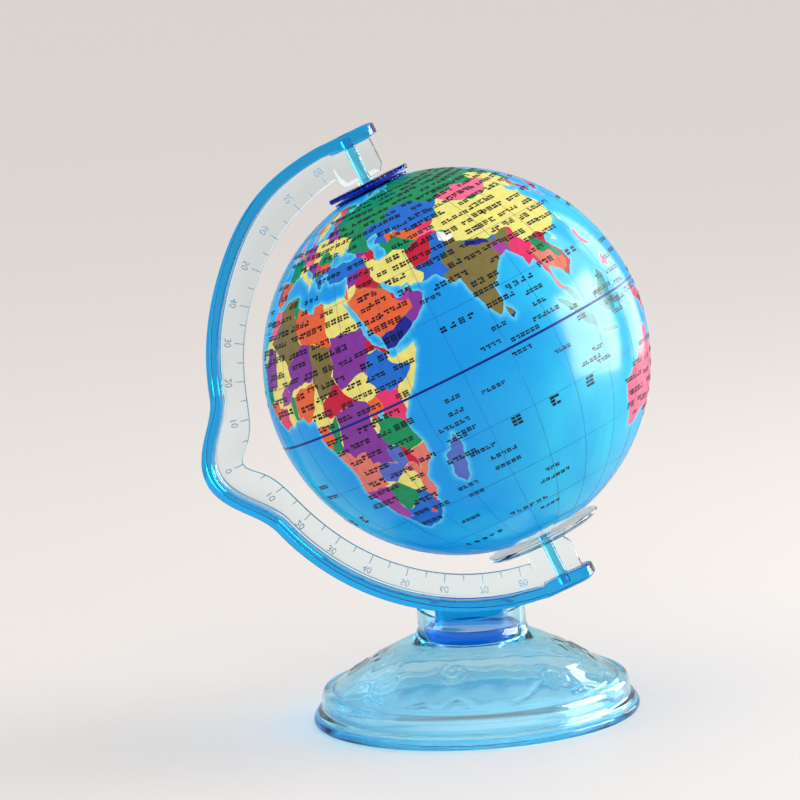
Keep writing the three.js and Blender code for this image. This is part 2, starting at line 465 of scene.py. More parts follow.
def line_tree() -> GrowingTree:
    """Makes the tree that sweeps a fine round line along every edge of a mesh."""
    made = GrowingTree("SweptLines", {"Radius": ("NodeSocketFloat", 0.0001), "Sides": ("NodeSocketInt", 5)})
    curve = made.node("GeometryNodeMeshToCurve", {"Mesh": made.inputs["Geometry"]})
    sizes = {"Radius": made.inputs["Radius"], "Resolution": made.inputs["Sides"]}
    circle = made.node("GeometryNodeCurvePrimitiveCircle", sizes)
    courses = {"Curve": curve.outputs["Curve"], "Profile Curve": circle.outputs["Curve"], "Fill Caps": True}
    return made.end(made.node("GeometryNodeCurveToMesh", courses).outputs["Mesh"])


def stamp_tree() -> GrowingTree:
    """Makes the tree that stamps a block on every point, turned and sized by the points' attributes."""
    made = GrowingTree("StampedBlocks", {"Depth": ("NodeSocketFloat", 0.0001)})
    size = made.node("ShaderNodeCombineXYZ", {"X": 1.0, "Y": 1.0, "Z": made.inputs["Depth"]})
    block = made.node("GeometryNodeMeshCube", {"Size": size.outputs[0]})
    stamp = made.node("GeometryNodeInstanceOnPoints", {
        "Points": made.inputs["Geometry"], "Instance": block.outputs["Mesh"],
        "Rotation": made.attribute("turn"), "Scale": made.attribute("spread"),
    })
    return made.end(stamp.outputs["Instances"])


def stamp_points(name: str, places: list[tuple[Matrix, float, float]]) -> bpy.types.Object:
    """Makes the points that a stamp tree reads.

    Args:
        name: the name of the point mesh.
        places: for each block, its place, with X along its width and Z outwards, its width and its height.

    Returns:
        A mesh of loose points with the attributes turn and spread.
    """
    item = add_mesh(name, [place.translation for place, _, _ in places], [])
    turn = item.data.attributes.new("turn", "FLOAT_VECTOR", "POINT")
    spread = item.data.attributes.new("spread", "FLOAT_VECTOR", "POINT")
    turns = [angle for place, _, _ in places for angle in place.to_euler("XYZ")]
    turn.data.foreach_set("vector", turns)
    spread.data.foreach_set("vector", [v for _, width, height in places for v in (width, height, 1.0)])
    return item


# --- Finishes ---


def new_group(name: str, inputs: dict[str, float], outputs: dict[str, str]) -> bpy.types.ShaderNodeTree:
    """Starts a shader node group.

    Args:
        name: the group's name.
        inputs: name to default of its number inputs.
        outputs: name to socket type of its outputs.

    Returns:
        The new group, with its input and output nodes.
    """
    group = bpy.data.node_groups.new(name, "ShaderNodeTree")
    for label, default in inputs.items():
        socket = group.interface.new_socket(label, in_out="INPUT", socket_type="NodeSocketFloat")
        socket.default_value = default
    for label, kind in outputs.items():
        group.interface.new_socket(label, in_out="OUTPUT", socket_type=kind)
    group.nodes.new("NodeGroupInput")
    group.nodes.new("NodeGroupOutput")
    return group


def moulded_surface() -> bpy.types.ShaderNodeTree:
    """Makes the group for polished mouldings: slow ripples, hairline scratches and their roughness."""
    name = "MouldedSurface"
    if name in bpy.data.node_groups:
        return bpy.data.node_groups[name]
    group = new_group(
        name,
        {"Ripple": 0.1, "Ripple Scale": 60.0, "Scratches": 0.1, "Gloss": 0.05},
        {"Roughness": "NodeSocketFloat", "Normal": "NodeSocketVector", "Wear": "NodeSocketFloat"},
    )
    tree = Tree(group)
    entry = group.nodes["Group Input"].outputs
    ripple = tree.noise(entry["Ripple Scale"], 1.5)
    scratch = tree.spread(tree.noise(900.0, 3.0, 1.5), from_min=0.62, from_max=0.74)
    wear = tree.math("MULTIPLY", scratch, entry["Scratches"])
    height = tree.math("MULTIPLY_ADD", ripple, entry["Ripple"], 0.0)
    bump = tree.node("ShaderNodeBump", {"Height": height, "Distance": 0.0004, "Strength": 0.5})
    rough = tree.math("MULTIPLY_ADD", wear, 0.35, entry["Gloss"])
    results = {"Roughness": rough, "Normal": bump.outputs["Normal"], "Wear": wear}
    tree.fill(group.nodes["Group Output"], results)
    return group


@dataclass(frozen=True)
class Finish:
    """What every finish shares: a name and its surface."""

    name: str
    gloss: float = 0.06
    ripple: float = 0.12
    ripple_scale: float = 60.0
    scratches: float = 0.15

    def material(self) -> bpy.types.Material:
        """Returns the finish's material, made on first use."""
        if self.name in bpy.data.materials:
            return bpy.data.materials[self.name]
        made = bpy.data.materials.new(self.name)
        made.use_nodes = True
        tree = Tree(made.node_tree)
        shader = made.node_tree.nodes["Principled BSDF"]
        sizes = {"Ripple": self.ripple, "Ripple Scale": self.ripple_scale, "Scratches": self.scratches,
                 "Gloss": self.gloss}
        surface = tree.node("ShaderNodeGroup", node_tree=moulded_surface())
        surface = tree.fill(surface, sizes).outputs
        tree.fill(shader, {"Roughness": surface["Roughness"], "Normal": surface["Normal"]})
        self.dress(tree, shader, surface["Wear"])
        return made

    def dress(self, tree: Tree, shader: bpy.types.Node, wear: bpy.types.NodeSocket) -> None:
        """Adds what this finish has beyond its surface."""


@dataclass(frozen=True)
class ClearPlastic(Finish):
    """Transparent moulded plastic, whose colour deepens with the depth of plastic that is looked through."""

    tint: tuple[float, float, float] = (0.3, 0.8, 0.95)
    depth: float = 60.0
    skin: tuple[float, float, float] = (1.0, 1.0, 1.0)
    shade: tuple[float, float, float] = (0.75, 0.9, 0.97)
    index: float = 1.5
    coat: float = 0.0
    edge: tuple[float, float, float] = (0.6, 0.85, 0.95)

    def dress(self, tree: Tree, shader: bpy.types.Node, wear: bpy.types.NodeSocket) -> None:
        """Makes the shader clear, tints the depth and lets lamps through as tinted light.

        Args:
            tree: the material's tree.
            shader: its Principled BSDF.
            wear: how scratched each place is.
        """
        worn = tree.mix(wear, self.skin, tuple(0.92 * value for value in self.skin))
        rim = tree.node("ShaderNodeLayerWeight", {"Blend": 0.35}).outputs["Facing"]
        tree.fill(shader, {"Base Color": tree.mix(rim, worn, self.edge), "Transmission Weight": 1.0,
                           "IOR": self.index, "Coat Weight": self.coat})
        inside = tree.node("ShaderNodeVolumeAbsorption", {"Color": self.tint, "Density": self.depth})
        shadow = tree.node("ShaderNodeLightPath").outputs["Is Shadow Ray"]
        through = tree.node("ShaderNodeBsdfTransparent", {"Color": self.shade})
        mix = tree.node("ShaderNodeMixShader", {0: shadow, 1: shader.outputs[0], 2: through.outputs[0]})
        out = tree.tree.nodes["Material Output"]
        tree.fill(out, {"Surface": mix.outputs[0], "Volume": inside.outputs[0]})


@dataclass(frozen=True)
class SolidPlastic(Finish):
    """Coloured plastic or ink that lets no light through."""

    colour: tuple[float, float, float] = (0.5, 0.5, 0.5)
    coat: float = 0.0
    shine: float = 0.5

    def dress(self, tree: Tree, shader: bpy.types.Node, wear: bpy.types.NodeSocket) -> None:
        """Lightens the colour a little where the surface is scuffed, under an even coat.

        Args:
            tree: the material's tree.
            shader: its Principled BSDF.
            wear: how scratched each place is.
        """
        scuffed = tuple(0.85 * value + 0.15 for value in self.colour)
        tree.fill(shader, {"Base Color": tree.mix(wear, self.colour, scuffed), "Coat Weight": self.coat,
                           "Coat Roughness": 0.04, "Specular IOR Level": self.shine})


@dataclass(frozen=True)
class PrintedMap(Finish):
    """The ball's printed map: inks by face, paler water near the shores and pale open-water patches, the
    patches partly printed depth tones and partly painted reflection, under a glossy coat.
    """

    shallow: tuple[float, float, float] = (0.120, 0.640, 0.880)
    bright: tuple[float, float, float] = (0.040, 0.680, 0.920)

    def dress(self, tree: Tree, shader: bpy.types.Node, wear: bpy.types.NodeSocket) -> None:
        """Mixes the ink of each face with the water's shore tones and its pale open-water tones, which are
        partly printed depth tones and partly painted reflection.

        Args:
            tree: the material's tree.
            shader: its Principled BSDF.
            wear: how scratched each place is, which the print doesn't show.
        """
        ink = tree.node("ShaderNodeVertexColor", layer_name="ink").outputs
        shore, shoal_and_sheen = (tree.node("ShaderNodeAttribute", attribute_name=name).outputs["Fac"]
                        for name in ("shore", "shoal_and_sheen"))
        swell = tree.noise(26.0, 4.0, 0.6)
        swell = tree.spread(swell, from_min=0.35, from_max=0.65, to_min=0.55, to_max=1.15)
        # Pale open-water patches: partly printed shallows, partly painted reflection of the window light on
        # the ball's right side.
        paleness = tree.math("MULTIPLY_ADD", shoal_and_sheen, swell, 0.0, clamp=True)
        open_water = tree.mix(paleness, ink["Color"], self.bright)
        water = tree.mix(tree.math("POWER", shore, 1.8), open_water, self.shallow)
        mottle = tree.spread(tree.noise(420.0, 3.0), to_min=0.80, to_max=1.16)
        land = tree.node("ShaderNodeVectorMath", {0: ink["Color"], "Scale": mottle}, operation="SCALE")
        tree.fill(shader, {"Base Color": tree.mix(ink["Alpha"], water, land.outputs[0]), "Coat Weight": 0.50,
                           "Coat Roughness": 0.17, "Specular IOR Level": 0.0})


ARM_BLUE = ClearPlastic("arm_blue", gloss=0.03, ripple=0.05, tint=(0.05, 0.80, 0.96), depth=230.0,
                        skin=(0.10, 0.78, 0.97), edge=(0.02, 0.34, 0.74), shade=(0.45, 0.85, 0.95),
                        index=1.42)
WEB_CLEAR = ClearPlastic("web_clear", gloss=0.03, ripple=0.10, tint=(0.30, 0.80, 0.95), depth=60.0,
                         skin=(0.95, 0.99, 1.0), edge=(0.72, 0.88, 0.95), shade=(0.94, 0.98, 1.0))
BASE_BLUE = ClearPlastic("base_blue", gloss=0.04, ripple=0.15, ripple_scale=90.0, depth=76.0,
                         tint=(0.02, 0.775, 0.935), skin=(0.93, 0.96, 0.97), edge=(0.46, 0.76, 0.89),
                         shade=(0.76, 0.87, 0.90), index=1.18, coat=0.5)
SADDLE_BLUE = ClearPlastic("saddle_blue", gloss=0.04, ripple=0.08, tint=(0.02, 0.76, 0.94), depth=330.0,
                           skin=(0.22, 0.82, 0.98), edge=(0.05, 0.50, 0.85), shade=(0.6, 0.85, 0.98),
                           index=1.18, coat=0.2)
TRAY_BLUE = ClearPlastic("tray_blue", gloss=0.04, ripple=0.12, tint=(0.02, 0.70, 0.91), depth=105.0,
                         skin=(0.90, 0.94, 0.95), edge=(0.72, 0.88, 0.94), shade=(0.76, 0.87, 0.90),
                         index=1.06, coat=0.5)
PIN_TEAL = ClearPlastic("pin_teal", gloss=0.05, ripple=0.08, tint=(0.02, 0.70, 0.88), depth=300.0,
                        skin=(0.30, 0.84, 0.94), edge=(0.05, 0.45, 0.66), shade=(0.5, 0.8, 0.9))
PLUG_BLUE = ClearPlastic("plug_blue", gloss=0.04, ripple=0.10, tint=(0.01, 0.74, 0.96), depth=150.0,
                         skin=(0.05, 0.62, 0.95), edge=(0.01, 0.36, 0.84), shade=(0.5, 0.75, 1.0),
                         index=1.20, coat=0.15)
DIAL_NAVY = ClearPlastic("dial_navy", gloss=0.05, ripple=0.08, tint=(0.02, 0.20, 0.80), depth=380.0,
                         skin=(0.06, 0.24, 0.85), edge=(0.02, 0.08, 0.60), shade=(0.3, 0.4, 0.9), index=1.25)
DISH_CLEAR = ClearPlastic("dish_clear", gloss=0.03, ripple=0.05, tint=(0.66, 0.80, 0.86), depth=80.0,
                          skin=(0.90, 0.95, 0.97), edge=(0.55, 0.68, 0.74), shade=(0.95, 0.97, 0.98),
                          index=1.08, coat=1.0)
SCALE_GREY = SolidPlastic("scale_grey", gloss=0.35, colour=(0.52, 0.61, 0.66))
MAP_BLACK = SolidPlastic("map_black", gloss=0.30, scratches=0.02, colour=(0.006, 0.007, 0.016), shine=0.15)
MAP_LINE = SolidPlastic("map_line", gloss=0.30, scratches=0.02, colour=(0.010, 0.120, 0.360), shine=0.15)
EQUATOR_NAVY = SolidPlastic("equator_navy", gloss=0.25, scratches=0.02, colour=(0.003, 0.020, 0.25),
                            shine=0.12)
DIAL_WHITE = SolidPlastic("dial_white", gloss=0.3, colour=(0.80, 0.84, 0.88))
INNER_WHITE = SolidPlastic("inner_white", gloss=0.5, ripple=0.3, colour=(0.80, 0.80, 0.76))
PRINT = PrintedMap("printed_map", gloss=0.16, ripple=0.10, ripple_scale=45.0, scratches=0.10)


# --- The map: outlines in degrees of longitude and latitude ---


@dataclass(frozen=True)
class Land:
    """A stretch of land, or a lake, with one ink and one outline."""

    ink: Ink
    shape: np.ndarray
    coast: bool


def lands(coast: bool, text: str) -> list[Land]:
    """Reads stretches of land.

    Args:
        coast: whether the outlines are shores, and not borders on the land.
        text: for each, its name if it has one, its ink, a colon and its "longitude latitude" corners with
            commas between them; a semicolon parts one from the next.

    Returns:
        The stretches of land, in the order in which they are printed.
    """
    found = []
    for entry in text.split(";"):
        head, corners = entry.split(":")
        shape = np.array([[float(value) for value in corner.split()] for corner in corners.split(",")])
        found.append(Land(Ink[head.split()[-1]], shape, coast))
    return found


COASTS = lands(True, """
africa SAND: -6 35.7,-2 35,3 37,10 37.3,11 36.5,10.5 34,13 33,15.5 32,19 30.3,20 32.3,23 32.5,
  25 31.6,29 31,31 31.5,32.5 31.2,32.6 29.9,34 27,35.5 24,37.2 21,37.4 19,39 16,41 14.5,
  43.2 12.6,42.7 11.6,44 10.4,47 11.2,51.2 12,51 10,49 6.5,47 4,44.5 1.6,42 -1,40 -3,39 -5.5,
  39.5 -8,40.5 -11,40.6 -15,37 -17.8,35 -20,35.4 -23.8,32.8 -26,32.5 -28.5,30.5 -31,28 -33,
  25.5 -34,22 -34.2,19.8 -34.8,18.3 -33.5,17.8 -31,16.5 -28.5,15 -26,14.4 -22.5,12 -18,12.3 -15.5,
  13.7 -12,13 -9,12 -6,9.5 -2.5,9 -0.5,9.7 2,9.6 4,8.5 4.6,6 4.3,4.5 6.3,1 6,-2 4.8,-4.5 5.2,
  -7.5 4.4,-9.5 5.7,-11.5 7,-13.2 8.8,-14.8 11,-16.8 12.5,-17.4 14.7,-16.4 17,-16.3 19.5,-17 21,
  -15.8 24,-14.5 26.2,-12.9 27.8,-10 29.5,-9.7 31.5,-8.5 33.3;
eurasia GREEN: -5.6 36,-2 36.8,0 38.5,-0.3 39.6,3 42,4.5 43.4,7.5 43.7,10 44,10.5 42.7,12.3 41.7,
  14 40.8,16 39.5,16 38,17 39.2,16.8 40.5,18.4 40,16 41.8,13.8 42.8,12.4 44.2,12.4 45.4,13.7 45.6,
  14 44.9,15.2 44,17 43,19 42,19.5 41,19.4 40.2,20.8 38.8,21.5 37,22.8 36.5,23.3 37.9,24 37.8,
  22.8 39.3,23 40.4,24 40.2,24.2 40.8,26 40.8,27 40.3,26.2 39.5,26.8 38.3,27.5 37,28.3 36.6,
  30.5 36.6,32.5 36.1,34 36.3,36 36.8,35.8 35,35.2 33,34.3 31.3,33 31.1,32.6 29.9,34.3 27.9,
  34.9 29.4,35 28,37.2 25,38.8 22,39.5 20,42.5 16.5,43.2 13,45 12.8,48.5 14,52 15.5,55 17,
  57.8 19,58.7 20.5,59.8 22.5,58.6 23.6,56.6 24.5,56.3 26.2,55 25.2,53.8 24.1,51.6 24.2,51.2 26,
  50.2 26.5,48.5 28.5,48 30,50 30.2,51.5 27.9,54.5 26.6,57 27,57.5 25.6,61.6 25.1,66.5 25.3,
  67.5 23.8,69 22.3,70.3 20.9,72.5 21.5,72.9 19,73.5 16,74.8 12.8,76.3 9.8,77.5 8.1,79 9.3,
  79.9 10.3,80.2 13.2,80.2 15.5,82.3 16.7,85 19.5,87 21.3,89 21.7,91 22.5,92.3 20.8,94.3 18.5,
  94.3 16,97 17,98 14.5,98.6 11.5,98.4 8,100.3 6,101.3 2.9,103.5 1.3,103.4 4,102 6.2,100 7.5,
  99.3 10,100 13.3,101 12.7,102.8 11.8,104.8 8.7,106.8 10.5,109.2 12,108.8 15.3,106.5 18,
  105.8 19.3,108 21.6,110 21.4,110.3 20.4,110.7 21.3,114 22.4,117.5 23.8,119.7 26,121.8 29,
  121.8 31,120 33.5,119.3 35,122.4 37,119 37.4,118 39,121 40.8,121.5 39,124.5 40,125.3 38,
  126.5 36,126.4 34.4,129.2 35.2,129.3 37.2,127.6 39.6,130.7 42.3,133 42.8,136 44.5,139 47.5,
  140.5 50.5,141.4 53.2,138 54,135.5 54.8,139 57.5,143 59.3,149 59.6,155 59.3,156.5 61.3,160 60.8,
  163.2 62.3,160 60,156.5 57.5,155.7 53.5,156.6 51,158.5 53,162 55.5,163.3 58,166 60,171 60,
  177.5 62.5,179.9 65,179.9 68.7,176 69.8,170 70,161 69.5,152 71,140 72.5,130 71,127 73.3,
  113 73.8,106 77,98 76,87 75,80.5 73.6,80 72,73 71,73.5 68,71.5 66.5,72.6 71,69 72.9,67 69.5,
  60 68.8,54 68.3,45 67.8,44 66.2,40 66.3,38 64,35 64.3,33 66.6,41 66.7,40.8 67.8,33 69.4,28 71,
  22 70.2,16 68.6,12.5 66,10 63.7,5.2 62,5.3 59,7.5 58,10.5 59.2,11.3 58.5,12.8 55.5,14.3 55.5,
  16.5 56.5,16.7 58.5,18.8 60,17.3 61,17.5 62.3,21.5 64.5,24.5 65.8,25.3 64.8,21.3 62.5,21.4 60.7,
  25 60.1,30 59.9,23.6 59.2,24.3 57.5,21.5 57.4,21 55.2,19 54.4,14.3 53.9,11 54,10.6 57.6,8.2 57,
  8.5 54,5 53.3,3.6 51.4,1.6 50.7,0 49.6,-1.8 49.6,-4.7 48.5,-1.5 47,-1.3 44.3,-1.8 43.4,
  -8.5 43.6,-9 41.5,-9.4 38.8,-8.9 37.1,-7 37.1;
north america PINK: -168 65.7,-156.5 71.2,-141 69.7,-128 70.3,-115 68.5,-108 68,-95 68,-94 71.5,
  -88 68.5,-82 69.5,-82 67,-87 65,-94.5 61,-94.7 59,-88 56.7,-82.3 55,-80 51.3,-78.8 55,-77 57.5,
  -78 62.4,-70 61,-65.5 59,-61.5 56.5,-56 52.5,-60 50.2,-66 50,-65 47.5,-61 45.6,-66 43.6,
  -70 43.7,-70.5 41.7,-74 40.5,-76 37,-75.7 35.3,-81 31.5,-80.2 25.5,-82.7 28,-84 30,-89.5 30,
  -94.8 29.2,-97.4 27,-97.6 22.3,-95 18.6,-91.5 18.6,-90.3 21,-87 21.4,-88.3 17,-88 15.8,-83.3 15,
  -83.7 11,-79.8 9.4,-77.4 8.5,-80.3 7.5,-83.5 8.5,-87.5 13,-94 16,-101.7 17.7,-105.5 20.5,
  -109.5 25.8,-113 31.3,-114.7 31.5,-109.5 23,-112.2 26,-114.7 28,-117.2 32.6,-120.6 34.6,
  -124.3 40.4,-124.3 46,-123 49,-130.5 54.5,-137 58.8,-145.5 60.4,-151.5 59.4,-157 57,-163.5 54.7,
  -158 58.5,-165.5 61.5,-161 64.5;
south america PINK: -77.4 8.4,-75.5 10.7,-71.7 12.3,-68 10.8,-62 10.6,-57 6,-51.5 4.3,-50 0.5,
  -44.5 -2.7,-37.2 -4.8,-35 -8,-39 -13.3,-39.8 -19.5,-42 -23,-48.3 -25.8,-48.7 -28.5,-52.3 -33,
  -57 -36.2,-57.7 -38.2,-62.3 -39,-65.3 -43,-65.8 -47.5,-69 -51,-68.3 -53,-65.3 -54.8,-71 -54.8,
  -75.5 -50,-73.5 -42,-73.5 -37,-71.5 -30,-70.3 -18.3,-76.3 -14,-81.3 -5,-80 -2.5,-78.8 1.5,-77.3 4;
australia PINK: 114 -22,117 -20.7,122.2 -18,124 -16.2,128 -14.8,130.5 -12.3,132.5 -11.5,136.8 -12,
  135.7 -15,139.5 -17.5,141.5 -13.5,142.5 -10.8,145.3 -15,147 -19.3,150.7 -23,153.2 -26,152.8 -31,
  150 -37.4,146.5 -39,143.5 -38.8,140 -37.5,138 -33.5,136 -34.8,134 -32.6,131 -31.5,126 -32.3,
  123.5 -33.9,118 -35,115.2 -34.3,115.7 -31.5,113.5 -26,113.5 -24;
greenland PAPER: -44 60,-50 64,-54 69,-58 75,-72 78.5,-60 82,-32 83.5,-18 80,-20 74,-24 70,
  -38 65.7;
madagascar VIOLET: 49.3 -12,50.4 -15.5,49.5 -18,47.5 -24,45.3 -25.6,43.6 -23.5,43.3 -21.8,44.4 -19.8,
  44.2 -16.5,46.5 -15.7,48 -13.7;
britain PINK: -5.6 50.1,-3 50.7,1.3 51.1,1.7 52.7,0.2 53.3,-1.6 55.3,-3 56,-2 57.6,-4 58.6,
  -5.5 57.5,-4.8 54.9,-3 53.8,-4.7 53,-5 51.8,-3 51.4;
ireland GREEN: -6.2 53.5,-6.4 52.2,-10 51.7,-9.8 53.8,-8.2 55.1,-6 54.8;
iceland ORANGE: -22.5 64,-18.5 63.4,-14 64.8,-15.5 66.4,-20.5 66,-24 65.6;
novaya zemlya GREEN: 52.5 71.5,57 70.7,58.5 73,68 76.5,63 76,55.5 74.5;
svalbard ORANGE: 12 79.5,17 76.7,22 78,26 80;
sri lanka NAVY: 80 9.7,81.3 8.5,81.8 7,80.6 6,79.8 7.5;
sumatra TEAL: 95.3 5.5,98.5 3.8,103.5 -0.5,106 -3.2,105.7 -5.8,102.3 -4,100 -0.7,97.5 2.5;
java TEAL: 105.2 -6.7,108.5 -6.7,114.4 -7.7,114.3 -8.7,108 -7.7;
borneo TEAL: 109.2 1.8,111.5 2.4,115.5 5.5,117 7,119 5.2,117.7 1.5,116.3 -4,112 -3.4,110 -1.5;
celebes TEAL: 119 -3.5,119.5 -5.5,120.8 -3,122.5 -4.5,121.5 -2,123.3 -0.9,120.3 -0.8,121 0.6,
  125 1.2,120.5 1.5;
new guinea ROSE: 131 -0.8,134 -0.8,135 -3.3,138 -1.7,144.5 -3.9,147.5 -6,150.5 -10.6,147 -9.6,
  144 -7.7,138.5 -8.3,138 -5.5,133 -4,132.5 -2.7;
luzon ROSE: 120.5 18.5,122.2 18.4,121.6 15.5,124 12.7,120.7 13.8,120 16;
mindanao ROSE: 122 7,123.5 8.6,125.5 9.7,126.4 7,125.4 5.8;
taiwan SAND: 121.5 25.2,120.2 23,120.9 22,121.8 24.5;
hainan SAND: 108.7 19.2,110.6 20,110.3 18.5;
honshu ROSE: 131 34.3,135 35.7,137 37.3,139.5 38.5,140 40.8,141.5 41.3,141.8 39,140.8 36,139 35,
  136 33.8,133 34;
kyushu ROSE: 130 33.4,131.8 33,131 31.2,130.2 31.4;
hokkaido ROSE: 140.2 42,141.7 45.4,145 43.6,143 42;
sakhalin GREEN: 142 46,143.5 47,143 54,142 52;
tasmania PINK: 144.8 -40.8,148.2 -40.9,147.5 -43.3,146 -43.4;
north island SAND: 173 -34.6,175.5 -36.7,178.4 -37.8,176 -41.2,174.8 -41.3,174 -39;
south island SAND: 172.8 -40.6,174.2 -41.7,170.7 -45.9,168.5 -46.6,166.5 -45.8;
baffin PINK: -64 66.5,-72 63,-78 65,-74 68,-88 71,-88 73.5,-80 73.5,-68 70;
victoria island PINK: -117 69.5,-103 69,-106 73,-117 73;
ellesmere PINK: -80 76,-90 77,-88 81,-65 83,-75 79;
cuba GREEN: -84.5 22,-80 23,-74.2 20.2,-77.5 19.9;
hispaniola ORANGE: -74.3 18.5,-72 19.9,-68.5 18.6,-71.5 17.8;
antarctica PAPER: -180 -78,-150 -77,-125 -74,-100 -73,-75 -72,-66 -66,-58 -63.5,-62 -68,-60 -74,
  -40 -78,-25 -75,-10 -71,20 -70,50 -66.5,80 -67,110 -66,140 -66.5,165 -71,167 -77,180 -78,
  180 -90,-180 -90
""")
